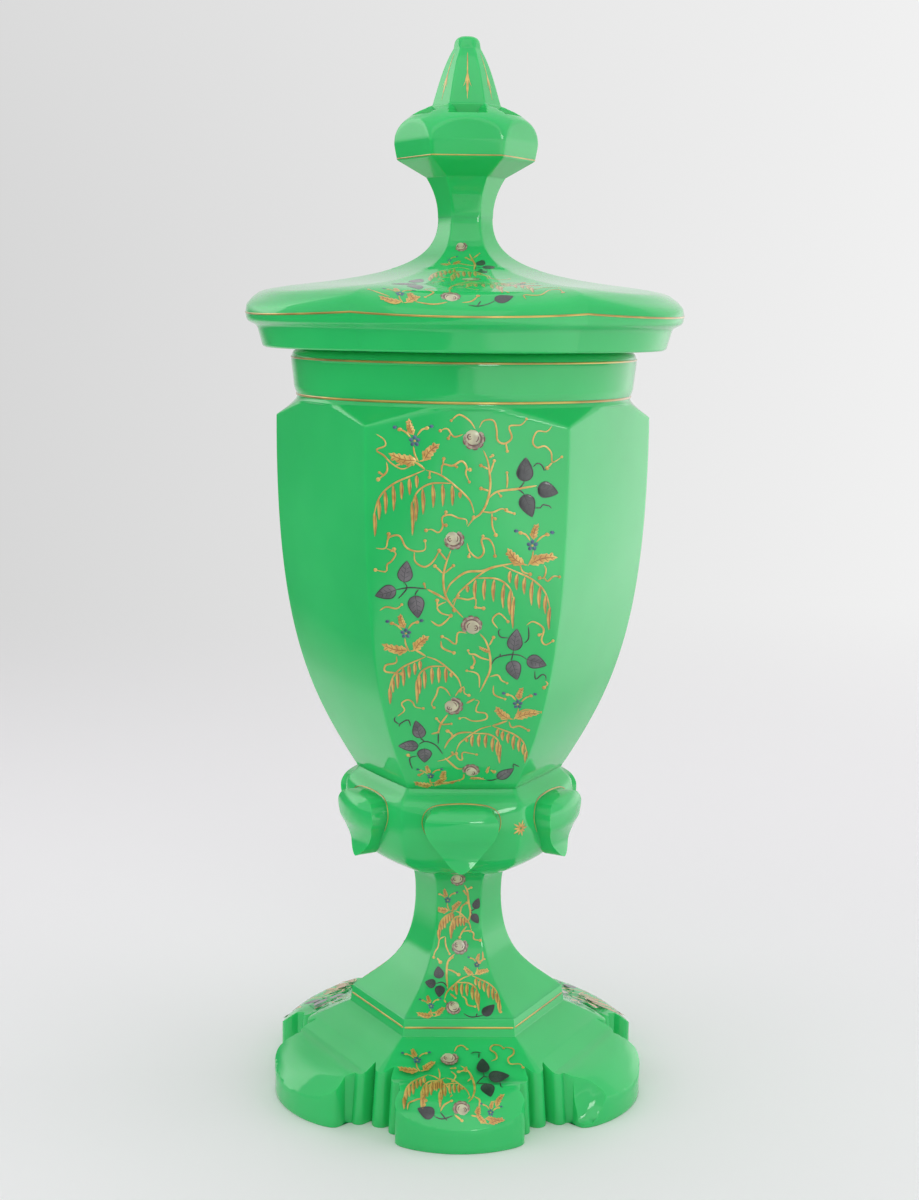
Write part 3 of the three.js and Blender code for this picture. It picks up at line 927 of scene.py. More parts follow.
def dab(bm, panel, points, width, kind="line", rise=None, lift=0.0, rings=None, around=6):
    # one brush stroke: a sphere drawn out along its path and pressed flat on the face
    path = smoothPath(points, paint["stepLength"])
    lengths = [0.0]
    for a, b in zip(path, path[1:]):
        lengths.append(lengths[-1] + max(1e-5, hypot(b[0] - a[0], b[1] - a[1])))
    rings = rings or max(5, min(40, int(lengths[-1] / paint["ringLength"])))
    rise = paint["raise"] if rise is None else rise
    verts = bmesh.ops.create_uvsphere(bm, u_segments=around, v_segments=rings, radius=1)["verts"]
    for vert in verts:
        x, y, z = vert.co
        t = 1 - acos(max(-1.0, min(1.0, z))) / pi
        s = t * lengths[-1]
        i = min(bisect_right(lengths, s), len(path) - 1) - 1
        (u0, v0), (u1, v1) = path[i], path[i + 1]
        share = (s - lengths[i]) / (lengths[i + 1] - lengths[i])
        run = hypot(u1 - u0, v1 - v0) or 1e-5
        ring = hypot(x, y)
        side, up = (x / ring, y / ring) if ring > 1e-4 else (0, 0)
        spread = widthAlong(kind, t)
        shift = side * spread * width / 2
        u = u0 + (u1 - u0) * share - (v1 - v0) / run * shift
        v = v0 + (v1 - v0) * share + (u1 - u0) / run * shift
        place, normal = panel(u, v)
        vert.co = place + normal * (lift + up * rise * spread ** 0.7)


def placed(points, at, size=1.0, side=1, turn=0.0):
    c, s = cos(turn), sin(turn)
    return [(at[0] + size * side * (x * c - y * s), at[1] + size * (x * s + y * c)) for x, y in points]


def between(base, tip):
    # places points along the line from a base, at 0, to a tip, at 1, and to its sides
    u, v = base
    du, dv = tip[0] - u, tip[1] - v

    def local(points):
        return [(u + du * x - dv * y, v + dv * x + du * y) for x, y in points]

    return local, hypot(du, dv)


def paintRose(colours, panel, u, v, size, turn):
    # a cream ball in a ring of outer petals, with mauve brush lines between them
    at, r = (u, v), size

    def arc(reach, start, end, x, y):
        angles = [radians(start + (end - start) * k / 6) for k in range(7)]
        points = [(r * (x + reach * cos(a)), r * (y + reach * sin(a))) for a in angles]
        return placed(points, at, 1, 1, turn)

    for k in range(7):
        a = radians(160 + 36 * k)
        petal = [(0.5 * r * cos(a), 0.5 * r * sin(a)), (0.98 * r * cos(a), 0.98 * r * sin(a))]
        dab(colours["petal"], panel, placed(petal, at, 1, 1, turn), 0.62 * r, "dot", 0.34, 0, 6, 8)
    ball = placed([(-0.1 * r, -0.62 * r), (-0.1 * r, 0.86 * r)], at, 1, 1, turn)
    dab(colours["cream"], panel, ball, 1.4 * r, "dot", 0.52, 0, 9, 14)
    for k in range(5):
        start = 172 + 40 * k
        dab(colours["mauve"], panel, arc(0.96, start, start + 32, 0, 0), 0.13 * r, "line", 0.16, 0.2, 6)
    for reach, start, end, x, y, width in (
            (0.62, -62, 40, 0.06, 0.0, 0.15), (0.72, 205, 300, 0.02, 0.1, 0.14),
            (0.42, -80, 10, 0.0, 0.1, 0.11), (0.4, 130, 215, -0.1, 0.16, 0.1),
            (0.24, 40, 330, -0.3, 0.26, 0.12)):
        dab(colours["mauve"], panel, arc(reach, start, end, x, y), width * r, "line", 0.16, 0.4, 8)
    eye = placed([(-0.38 * r, 0.24 * r), (-0.22 * r, 0.28 * r)], at, 1, 1, turn)
    dab(colours["mauve"], panel, eye, 0.16 * r, "dot", 0.12, 0.48)


def paintLeaf(colours, panel, base, tip, width):
    # a bent gold leaf with four lobes to each side, a rib in each and a rib along its middle
    local, length = between(base, tip)
    bend = 0.1
    half = width / length / 2
    dab(colours["gold"], panel, local([(0, 0), (0.5, bend), (1, 0)]), width * 0.8, "leaf", 0.3, 0,
        max(7, int(length / 0.8)), 8)
    for k in range(4):
        x = 0.16 + 0.19 * k
        for side in (-1, 1):
            lobe = [(x, bend * 0.8), (x + 0.13, bend * 0.8 + side * half * (0.98 - 0.12 * k))]
            if length > 3.5:
                dab(colours["gold"], panel, local(lobe), width * 0.36, "dot", 0.24, 0, 5, 6)
            rib = [(x, bend * 0.9), (x + 0.13, bend * 0.8 + side * half * 0.7)]
            dab(colours["ochre"], panel, local(rib), width * 0.09, "tail", 0.1, 0.24, 4, 5)
    middle = local([(0.05, 0.01), (0.45, bend * 0.95), (0.9, 0.03)])
    dab(colours["ochre"], panel, middle, width * 0.11, "line", 0.12, 0.26)


def paintDarkLeaf(colours, panel, base, tip, width, fill):
    # a leaf with a black rim, a black rib along its middle and three to each side
    local, length = between(base, tip)
    half = width / length / 2
    dab(colours[fill], panel, local([(0, 0), (1, 0)]), width, "leaf", 0.3, 0, 12, 12)
    for side in (-1, 1):
        rim = [(0.0, 0.0), (0.1, side * half * 0.62), (0.32, side * half * 0.93), (0.6, side * half * 0.72),
               (0.85, side * half * 0.3), (1.0, 0.0)]
        dab(colours["black"], panel, local(rim), 0.42, "line", 0.16, 0.12)
    dab(colours["black"], panel, local([(-0.12, 0.0), (0.4, 0.02), (0.85, 0.0)]), 0.34, "tail", 0.1, 0.27)
    for k in range(3):
        x = 0.2 + 0.2 * k
        for side in (-1, 1):
            rib = local([(x, 0), (x + 0.16, side * half * 0.6)])
            dab(colours["black"], panel, rib, 0.26, "tail", 0.1, 0.25, 4, 5)


def paintPosy(colours, panel, u, v, size, side):
    # a forget-me-not with two buds, an upright leaf and two broad leaves
    def at(points):
        return placed(points, (u, v), size, side)

    for stalk in ([(-0.4, -1.8), (0, -4.8), (1.6, -8)], [(-1.4, 1.2), (-3.6, 3.4), (-6.2, 4.4)],
                  [(0.8, 1.8), (2.6, 4.2), (5.0, 4.9)], [(1.6, -7.5), (3.2, -7.2), (3.6, -5)]):
        dab(colours["gold"], panel, at(stalk), paint["line"] * size ** 0.5)
    for base, tip, width in (((-0.4, 2.2), (-2.2, 8.4), 3.2), ((0.8, -7.2), (-9.8, -4.6), 4.6),
                             ((3.4, -7.4), (9.4, -1.0), 4.4)):
        start, end = at([base, tip])
        paintLeaf(colours, panel, start, end, width * size)
    for x, y in ((-5.6, 4.2), (4.5, 4.8)):
        dab(colours["gold"], panel, at([(x - 0.9, y - 0.3), (x + 0.9, y + 0.3)]), 1.5 * size, "dot", 0.3)
    for x, y in ((-7.4, 4.9), (6.2, 5.4)):
        dab(colours["blue"], panel, at([(x - 0.9, y), (x + 0.9, y + 0.2)]), 1.5 * size, "dot", 0.35)
    for k in range(5):
        a = radians(90 + 72 * k)
        petal = at([(0.5 * cos(a), 0.5 * sin(a)), (2.3 * cos(a), 2.3 * sin(a))])
        dab(colours["blue"], panel, petal, 1.6 * size, "dot", 0.3, 0, 5, 7)
    dab(colours["gold"], panel, at([(-0.5, 0), (0.5, 0)]), 0.9 * size, "dot", 0.2, 0.25)


frondShape = {
    "stems": [
        [(0, 0), (-4.5, -2), (-12, -5.5), (-17, -10.5), (-19.3, -18)],
        [(0, 0), (5.5, -1.8), (10.5, -5.3), (16.5, -11), (18.5, -16.5)],
        [(10, -5), (2, -5.2), (-3, -8.5), (-5, -14)],
    ],
    "pendants": [
        (-19, -16, 9.5), (-17.4, -11.2, 8), (-15, -8, 9), (-12, -5.8, 10), (-9, -4.4, 7), (-6, -3.2, 6.5),
        (-3.3, -2, 5), (-5, -12, 13), (-3.6, -9.2, 10.5), (-1, -7, 10), (2.8, -5.4, 9), (6.4, -5.2, 8.6),
        (10, -5.6, 8), (13, -8, 2.6),
    ],
}


def paintFrond(colours, panel, u, v, across, down, side):
    # three arching stems with gold drops that hang from them
    def at(points):
        return [(u + side * across * x, v + down * y) for x, y in points]

    for stem in frondShape["stems"]:
        dab(colours["gold"], panel, at(stem), paint["line"])
    dab(colours["gold"], panel, at([(17.6, -17.4), (18.8, -18)]), 1.9, "dot", 0.4)
    for x, y, length in frondShape["pendants"]:
        lean = 0.04 * length
        hang = at([(x, y), (x + lean, y - length * 0.5), (x + 0.02 * length, y - length)])
        dab(colours["gold"], panel, hang, 1.65, "drop", 0.34, 0, max(6, int(length * down)), 6)
        dab(colours["ochre"], panel, [(a + 0.35, b) for a, b in hang], 0.5, "drop", 0.12, 0.25, 6, 5)


bowlPainting = {
    "roses": [
        (2.5, 146.5, 4.2, 0.2), (-4.5, 108.6, 3.9, 0.5), (2.6, 75, 4.1, 3.3), (-4, 41.2, 3.9, 1.2),
        (3.5, 9.6, 3.5, 2.9),
    ],
    "posies": [
        (-19.5, 145.5, 1.0, 1), (25, 106.5, 1.0, -1), (-22.4, 71.7, 0.95, 1), (21, 42, 0.9, -1),
        (-12.4, 6.5, 0.7, 1),
    ],
    "fronds": [
        (-15.5, 134.8, 1.0, 1.0, 1), (13.6, 98.8, 0.98, 1.0, -1), (-14.6, 62.4, 0.74, 0.82, 1),
        (11.2, 32.2, 0.74, 0.76, -1),
    ],
    "darkLeaves": [
        ((21.5, 130.7), (22, 139.8), 6.6), ((26.6, 128.4), (34.4, 126.4), 6.4),
        ((21.5, 125.8), (24.8, 117.2), 6.4), ((-23.2, 92), (-22.1, 100.3), 6),
        ((-26.2, 89), (-34.2, 86.4), 5.8), ((-19, 86.8), (-17.8, 77.8), 6.6),
        ((18.8, 65), (19.9, 73.9), 6.2), ((24, 61.4), (31.7, 58.8), 6), ((18, 60.8), (20.6, 52.7), 6.2),
        ((-16.4, 26), (-18.5, 34.4), 5.4), ((-17.4, 22.2), (-25.3, 21.9), 5.6),
        ((-15, 20.8), (-14.8, 13.6), 6), ((14.2, 5.3), (20.6, 10.8), 4.8),
    ],
    "darkLines": [
        [(18.8, 127.9), (20.4, 128.8), (21.5, 130.7)], [(18.8, 127.9), (20.6, 126.9), (21.5, 125.8)],
        [(24.6, 136), (26.4, 137.6), (28.2, 136.6), (29, 134.8), (30, 135.8)],
        [(25.4, 120.8), (28, 120.9), (28.4, 122), (31, 121.6), (32, 120.4)],
        [(-14.6, 89.4), (-21, 89.9), (-26.2, 88.9)],
        [(-23.2, 92), (-22, 89.9), (-23.8, 87.2), (-25.6, 85.4)],
        [(-17.6, 89.3), (-18.6, 88), (-19, 86.8)],
        [(10, 58), (11.4, 61.2), (13.8, 62.6), (18, 63.4), (21.4, 63), (24, 61.4)],
        [(18.8, 65), (18, 60.8)], [(13.6, 62.4), (13.8, 63.8)],
        [(16.8, 70.2), (13.6, 70.6), (12.8, 73), (13.8, 73.8)], [(22.6, 68), (24.4, 70), (24.2, 75)],
        [(27.2, 56.8), (27.6, 53), (30, 55), (31.4, 54.4), (31.6, 52.4)],
        [(-7.6, 17.8), (-10, 22), (-12.4, 23.8), (-15, 24.4), (-17.4, 22.6)], [(-16.4, 26), (-15, 24.2)],
        [(-20.4, 31.4), (-21.4, 34.6), (-24.6, 32.6), (-24.8, 31)],
        [(-24.8, 32.4), (-26.8, 34.2), (-26.2, 36.2)],
        [(-17.6, 17), (-20.6, 16), (-20.4, 12.4), (-19.4, 10)], [(9.6, 4.6), (12, 4.4), (14.2, 5.3)],
        [(20.6, 10.8), (20.2, 13), (23, 11.4)], [(-9.6, 28.6), (-9.6, 23)],
    ],
    "paleLeaves": range(3, 13),
    "leaves": [
        ((10, 64.6), (5.4, 66.8), 1.7), ((-7.4, 4.8), (-6.6, 9.6), 3.0), ((3, 5.2), (9.6, 4.6), 1.4),
        ((-1, 4.4), (-13, 3.2), 1.5), ((10, 8), (11, 12), 1.4),
    ],
    "vines": [
        [(6, 142.4), (7.8, 138), (8.8, 131), (8.6, 127), (7.4, 122), (5.2, 118.4), (2.6, 116.4),
        (0.4, 113.4)], [(-5.6, 104.6), (-7.4, 99.4), (-8.4, 94), (-7.6, 87.4), (-5, 83), (-0.6, 78.2)],
        [(-7.4, 87.4), (-5.6, 91.6), (0, 96), (6, 96.6), (10, 98), (13.6, 98.8), (19, 99.8)],
        [(5.6, 72), (8, 69), (9.6, 64), (10, 57.4), (8.4, 52.6), (6.2, 47.4)], [(4.4, 44.6), (1, 42.4)],
        [(-20, 138), (-17.6, 136.6), (-15.5, 134.8)], [(-19.6, 65.6), (-17, 64), (-14.6, 62.4)],
        [(17.4, 34.6), (13.6, 33), (11.2, 32.2)], [(-6, 37.4), (-8.6, 33), (-9.6, 28.6)],
        [(-7.2, 20.8), (-5.4, 25), (-1.6, 28.6), (4, 29)],
        [(-7, 16.4), (-4.6, 13.6), (-2, 10.8), (0.4, 10.6)],
        [(8, 124), (11.4, 126.8), (18.8, 127.9), (26.4, 129.2)], [(-14.6, 89.4), (-10, 87), (-6.6, 85)],
    ],
    "lines": [
        [(3, 150), (1, 153), (-3, 155.4), (-6, 153.2)],
        [(4.4, 150.4), (6, 153.2), (9.6, 153.4), (10.9, 150), (11.3, 146), (14, 144.8), (16.6, 147),
        (15.6, 151.2), (20, 151.8), (22, 154)], [(14.4, 145), (15, 142)],
        [(-1.4, 148.2), (-5, 147.2), (-7.4, 150.2), (-10, 149.4)], [(-6.2, 148.2), (-7, 146.6)],
        [(31.6, 151.6), (29.6, 149.4), (26, 149.4), (24.4, 145.6), (26, 143.4), (29, 144),
        (31.4, 141.6), (32, 138), (35.4, 140)], [(32, 138), (30, 135.8)],
        [(-34, 148), (-31, 146), (-30.4, 143.6), (-33.8, 142), (-31, 140), (-28, 137), (-24, 135),
        (-20, 136.8)], [(-30, 137.6), (-29.8, 134), (-33, 131)], [(-26.6, 136.2), (-24.4, 137)],
        [(-31.2, 132.6), (-32.6, 133.6)],
        [(-9.4, 132.6), (-9, 136.8), (-5.4, 136.4), (-2, 138.2), (0, 136), (-0.4, 133.6), (1, 130.4)],
        [(-5, 136.6), (-3.8, 136)], [(-0.2, 135), (1.2, 135)], [(-9, 136.8), (-8.6, 139)],
        [(-13.8, 134.4), (-13.9, 132)], [(15, 128), (15.2, 131), (15, 134)], [(11.4, 127), (12.8, 125.2)],
        [(8.6, 133.4), (10.2, 138.4)], [(8.6, 135), (5.2, 136.6)], [(8.2, 139.4), (9.6, 140.4)],
        [(8.6, 127), (5.4, 128)], [(5.4, 119.4), (9.6, 119), (13, 120.4), (15, 120)],
        [(9.6, 119), (9.8, 114), (11.2, 110.4)], [(9.9, 117.2), (10.9, 116.6)],
        [(14, 119.8), (18, 118.6)],
        [(0.2, 114), (0, 116.2), (-3, 116.8), (-6, 118), (-9, 117), (-8.8, 113.4), (-10.4, 111.2),
        (-13, 112.4), (-15, 112)], [(-8, 117.8), (-7.6, 119)], [(-8.9, 114.4), (-7.6, 114)],
        [(0.4, 107.4), (1.5, 104), (4.6, 101.6), (6.8, 104), (5.8, 108.6), (8.6, 108.8), (10.4, 106),
        (11, 102.4)], [(6, 108.4), (6.4, 110)], [(1.4, 103.6), (1.2, 102.2)],
        [(-34, 105), (-30.2, 105), (-29, 109), (-25, 109.8), (-22.6, 105.6), (-19, 104), (-15.4, 104.6),
        (-15.4, 108)], [(-29.4, 108), (-29, 110.4)],
        [(-19.4, 104), (-19, 100), (-15.6, 98), (-12.4, 100), (-10, 104.4)],
        [(-30.2, 105), (-26.4, 103.2), (-28, 100), (-29.6, 98.8), (-30, 96), (-34, 96.6)],
        [(-28.4, 103.6), (-27, 104.6)], [(-7, 100.4), (-10, 104)], [(-8.4, 95.4), (-11.6, 98.4)],
        [(-8.2, 95.4), (-4.6, 98.6)], [(-15, 89.4), (-15.6, 91.4)],
        [(29.6, 99), (30.4, 97), (29.6, 94), (28, 94)],
        [(29.8, 94.4), (31, 92.6), (33.2, 94.6), (35.6, 94.4)],
        [(20.4, 99.2), (21.6, 96.4), (24.4, 95.4)], [(-7, 84.6), (-10.6, 82.6), (-9, 80), (-5.4, 79)],
        [(-10.6, 82.6), (-10.6, 85)], [(-13, 77), (-10, 75), (-7.4, 76.6), (-5.4, 79)],
        [(-5, 84), (-3.4, 86), (1, 85.4), (3.8, 86), (4, 82.4)], [(3.8, 82.4), (7, 82)],
        [(-3.2, 86), (-2.6, 87)], [(-32.4, 80.6), (-30, 82.2), (-26, 81.6), (-24, 83.2)],
        [(12.6, 74), (10.4, 77.4), (13, 80), (16.4, 76.8)],
        [(23.4, 75.2), (26, 76.8), (30, 74), (29.4, 69.4), (31, 67.4), (33.8, 69)],
        [(29.6, 72), (28.4, 71.4)], [(1, 72), (-2.6, 72.2), (-3.4, 67.6), (-6.4, 69.6), (-8.6, 70.6)],
        [(-9, 69), (-8.4, 66), (-4, 64)], [(9.4, 67), (11, 70.4)],
        [(9.8, 61), (6.4, 62), (4, 63.4), (2, 63.6), (1.4, 65)], [(3, 63), (4, 60.4), (3, 58)],
        [(-26, 62.4), (-26.2, 59.6), (-30, 58.6), (-30.4, 56), (-27, 55.4), (-24, 55)],
        [(-5, 45.4), (-7, 48.6), (-9.6, 49.4), (-10.6, 46), (-12.4, 42), (-11.4, 40.4)],
        [(-3.4, 45.4), (-1.6, 48.4), (0, 49.6), (0.2, 47), (2, 46)], [(6, 49.2), (5.4, 55), (1, 56.6)],
        [(4, 44), (6, 43.4), (5, 40.6), (5.2, 38.6), (8.6, 38), (9.2, 35.6), (6, 34.4), (3, 34.6),
        (0.6, 36), (-1.4, 35.6)], [(9.8, 54), (13, 54.8), (14.4, 52.6), (16.6, 51.4)],
        [(11.4, 50.4), (11.8, 46.4), (16, 44.4)],
        [(-25.6, 36.2), (-22.8, 39), (-24, 42), (-21.6, 43.8), (-19.6, 42.6), (-18.6, 40.6), (-15.6, 40)],
        [(31.4, 52.2), (32.4, 51), (31, 49.4)], [(-12.4, 28), (-9.6, 29)], [(-8.6, 33), (-10.4, 35.4)],
        [(-8.6, 32.6), (-4.6, 33)], [(-4.6, 25.4), (-4.2, 28), (-6, 29.6)],
        [(17.8, 34.4), (19, 31.4), (22, 32), (25.6, 30)], [(20, 37), (24, 39.6), (30.4, 38.4)],
        [(-10, 14.4), (-6.4, 15.6), (-3, 18.4), (-1.6, 15.8), (0, 15.2), (0, 19), (3.4, 18.6), (5.6, 18)],
        [(-3.4, 17.4), (-4, 19)], [(-20.6, 16.6), (-21.4, 17.4)], [(0.8, 8), (0.6, 5.4), (-1, 4.4)],
        [(3.4, 6.2), (5, 5.2)], [(11.2, 10), (12.8, 9)], [(-15, 8.4), (-17, 7)],
    ],
}

stemPainting = {
    "roses": [(-0.6, 60.6, 3.2, 0.6), (0.5, 31.6, 3.5, 0.3), (-2.2, 5, 3.3, 5.6)],
    "posies": [(-4.7, 51, 0.62, 1), (7.6, 24, 0.56, -1), (-11.4, 5.6, 0.62, 1)],
    "fronds": [(-1.6, 46.4, 0.36, 0.48, 1), (5.2, 19.6, 0.6, 0.66, -1)],
    "darkLeaves": [
        ((6.6, 47.2), (8.2, 52), 3.3), ((5.6, 45), (8.2, 41), 3.4), ((-8, 18.2), (-8.6, 23.4), 4.4),
        ((-9.6, 15.4), (-14, 16.6), 4.2), ((-7.6, 15), (-8.2, 9.6), 4.3), ((9.8, 1.4), (14.6, 6.4), 4.4),
    ],
    "darkLines": [
        [(4.8, 46.2), (6.6, 47.2)], [(4.8, 46.2), (5.6, 45)], [(-4.4, 14), (-6.6, 16.4), (-9.6, 15.8)],
        [(1.6, 2.4), (5, 0.6), (9.8, 1.4)], [(7, 0.9), (7.4, 2.4)],
    ],
    "paleLeaves": (),
    "leaves": [],
    "vines": [
        [(2, 58), (3.4, 55), (4, 50), (4.8, 45.4), (3.6, 41)],
        [(-1.6, 28.4), (-4.4, 25.4), (-5, 20), (-4.6, 13.6)],
    ],
    "lines": [
        [(3.2, 55.6), (5, 56.6)], [(3.4, 53), (2, 55)], [(3.4, 40), (1.4, 37.4), (0.4, 35.2)],
        [(1.4, 37.4), (4, 38), (6.2, 37), (6.2, 34.6), (9, 34)],
        [(-5.6, 35.6), (-8, 34.4), (-8.6, 31.4), (-10, 29), (-10.4, 27)],
        [(-5.6, 35.6), (-5.4, 32), (-3.8, 28.4)], [(-9, 26.8), (-7.6, 25)], [(-4.6, 25), (-2.6, 27)],
        [(-4.8, 22), (-2.6, 21.4), (0, 19.8)], [(0.4, 43.6), (1, 48), (3.2, 49.8)],
        [(-3.6, 11.4), (-1.4, 9.4)], [(1, 10.6), (2.8, 9), (3.6, 6.2), (6.6, 5.4)],
        [(-6.4, 2.4), (-12, 2.6)], [(10, 29.6), (10, 26), (8.6, 25)], [(15.4, 10), (17, 6), (17, 3)],
    ],
}

footPainting = {
    "roses": [(-4, -12, 3.7, 0.4), (0.4, -38.6, 3.4, 3.4)],
    "posies": [(-17, -13, 0.8, 1), (11.8, -39.4, 0.58, -1)],
    "fronds": [(-12.6, -21, 0.5, 0.66, 1), (-5.6, -22.6, 0.5, 0.62, 1)],
    "darkLeaves": [
        ((9.5, -19.9), (9.2, -11.9), 5.4), ((11.4, -22.2), (19.9, -21.4), 6.4),
        ((10.3, -25.6), (12, -33), 5.8), ((-10.2, -40.6), (-16.8, -37.2), 5),
    ],
    "darkLines": [
        [(6.4, -26.2), (8, -23.6), (9.6, -21.8), (9.5, -19.9)], [(9.4, -22), (11.4, -22.2)],
        [(6.8, -25.6), (10.3, -25.6)], [(4.4, -9.4), (6.6, -8.4), (9.2, -9)], [(8, -9), (7.8, -12)],
        [(15.8, -24.6), (16.4, -27.8), (17.2, -27)], [(-10.2, -41), (-7, -42.4), (-2.6, -41.4)],
        [(-8, -39.6), (-5, -43.4)],
    ],
    "paleLeaves": (),
    "leaves": [
        ((14, -37), (17.6, -31), 2.4), ((9.6, -42), (15.6, -42.4), 1.8), ((6.8, -41), (7.6, -37.4), 2.6),
        ((2.6, -19.6), (2.8, -16.4), 2.2),
    ],
    "vines": [[(0.4, -16), (3.4, -19), (5, -23), (5.8, -28), (5, -33), (3, -36)]],
    "lines": [
        [(-2, -8.4), (-0.8, -5.4), (1.4, -4.8), (3.2, -6.8)],
        [(12.6, -13.6), (15, -12), (14.6, -9), (12.6, -7), (13.6, -4.6), (16.4, -4.6), (18, -6.2)],
        [(18.4, -5.6), (21.8, -6.6), (21.8, -9.6), (19.6, -12), (20.4, -15), (24.2, -15), (25.4, -17)],
        [(-8.6, -17.4), (-8, -20), (-8, -24)], [(-3.6, -19), (-1.6, -21.6), (-2.8, -24.4)],
        [(-4, -17.6), (-1.8, -17.4)], [(2.6, -18.4), (-0.4, -19.4)], [(3, -24.6), (4.8, -22.6)],
        [(-20.6, -38), (-20, -34.8), (-16, -33.4), (-13.6, -34.4)],
        [(-7.8, -39.6), (-6.4, -37), (-3.4, -35.2)], [(5.4, -33), (7.6, -34.6), (7.2, -38)],
        [(-2.4, -41), (0.6, -43.4)], [(4, -41.2), (6.8, -41.6)], [(-14, -34), (-14.2, -36)],
    ],
}

coverPainting = {
    "roses": [(-1.9, -11.2, 2.5, 0.4), (-6.9, -84.9, 3.6, 3.2), (1.2, -45.6, 3.8, 0.8)],
    "posies": [(-6.6, -19.6, 0.5, 1), (-25.1, -84.8, 0.8, 1), (20, -58, 0.8, -1)],
    "fronds": [(-3, -26, 0.6, 1.0, 1), (8, -52, 0.8, 1.2, -1)],
    "darkLeaves": [
        ((5, -24), (6.8, -18.8), 3.7), ((6.2, -26), (12, -25.6), 4), ((4.6, -28), (7.4, -34), 5),
        ((-20.4, -56), (-17.4, -46), 5.6), ((-20, -61), (-28.6, -61.4), 6),
        ((-20.4, -64.6), (-18.2, -78), 6), ((9, -87.4), (15.8, -84.6), 5.6),
    ],
    "darkLines": [
        [(2.4, -31.7), (3.4, -28), (3.6, -25), (4.8, -24)], [(3.8, -26.4), (6.6, -26)],
        [(3.4, -28), (4.6, -28)], [(-12, -58), (-16, -60), (-20, -61)],
        [(-20.4, -56), (-19.4, -60.4), (-20.4, -64.6)], [(-1, -90), (2.5, -90.8), (6, -89.8), (9, -87.4)],
        [(2.6, -90.6), (4, -87.2)],
    ],
    "paleLeaves": range(3, 6),
    "leaves": [((-19.2, -89.4), (-21.4, -83), 3.8)],
    "vines": [
        [(1.3, -14.9), (2.7, -19.8), (3.4, -24.3), (2.4, -31.7)], [(2.2, -32), (1, -36), (1.2, -42)],
        [(0.6, -50), (-4, -60), (-7, -72), (-7, -81)],
        [(-19.6, -89.6), (-15, -90.4), (-11.8, -90.2), (-7.9, -88.4)],
    ],
    "lines": [
        [(2.8, -18), (5.4, -14.6)], [(2.9, -20.4), (0, -17.6)], [(3.3, -24.4), (-1, -23), (-4, -21.4)],
        [(-2, -30), (-6, -33), (-10, -36), (-9, -42)],
        [(3, -36), (8, -38), (9, -43), (13, -46), (16, -44)],
        [(-6, -41), (-11, -45), (-9, -51), (-13, -55)], [(7, -57), (12, -55), (15, -63), (12, -69)],
        [(-3, -57), (1, -63), (-1, -70), (3, -75)],
        [(20.2, -87.2), (19.6, -84), (23.4, -84.8), (26.4, -84.4), (29.6, -80), (33, -80), (34.2, -84.3)],
        [(19, -75), (24, -77), (28, -71), (33, -73)], [(-12, -73), (-16, -77), (-13, -82), (-16, -86)],
        [(-28.6, -88), (-33, -86), (-36.6, -84)], [(8, -79), (12, -77), (14, -81)],
        [(-3, -88.6), (0.6, -87.6), (3, -84)],
    ],
}


def paintFace(colours, panel, painting):
    chance = Random(7)
    for u, v, size, turn in painting["roses"]:
        paintRose(colours, panel, u, v, size, turn)
    for u, v, size, side in painting["posies"]:
        paintPosy(colours, panel, u, v, size, side)
    for u, v, across, down, side in painting["fronds"]:
        paintFrond(colours, panel, u, v, across, down, side)
    for k, (base, tip, width) in enumerate(painting["darkLeaves"]):
        paintDarkLeaf(colours, panel, base, tip, width, "slate" if k in painting["paleLeaves"] else "coal")
    for base, tip, width in painting["leaves"]:
        paintLeaf(colours, panel, base, tip, width)
    for path in painting["darkLines"]:
        dab(colours["black"], panel, path, 0.6, "line", 0.25)
    for path in painting["vines"]:
        dab(colours["gold"], panel, path, paint["vine"])
    for path in painting["lines"]:
        dab(colours["gold"], panel, path, paint["line"] * (0.9 + 0.25 * chance.random()))
        u, v = path[-1]
        size = 0.55 + 0.35 * chance.random()
        dab(colours["gold"], panel, [(u - size, v), (u + size, v)], size * 2, "dot", 0.4)


def makePaint(name, colour, deeper, metallic, roughness, patches=260):
    # fired colour, uneven in tone
    material, nodes, links, shader = newMaterial(name)
    place = nodes.new("ShaderNodeTexCoord")
    patch = nodes.new("ShaderNodeTexNoise")
    patch.inputs["Scale"].default_value = patches
    patch.inputs["Detail"].default_value = 2
    links.new(place.outputs["Object"], patch.inputs["Vector"])
    tint = blendByNoise(nodes, links, patch, (*deeper, 1), (*colour, 1), paint["toneEnds"])
    links.new(tint.outputs["Color"], shader.inputs["Base Color"])
    shader.inputs["Metallic"].default_value = metallic
    shader.inputs["Roughness"].default_value = roughness
    shader.inputs["Coat Weight"].default_value = paint["coat"]
    shader.inputs["Coat Roughness"].default_value = paint["coatRoughness"]
    return material


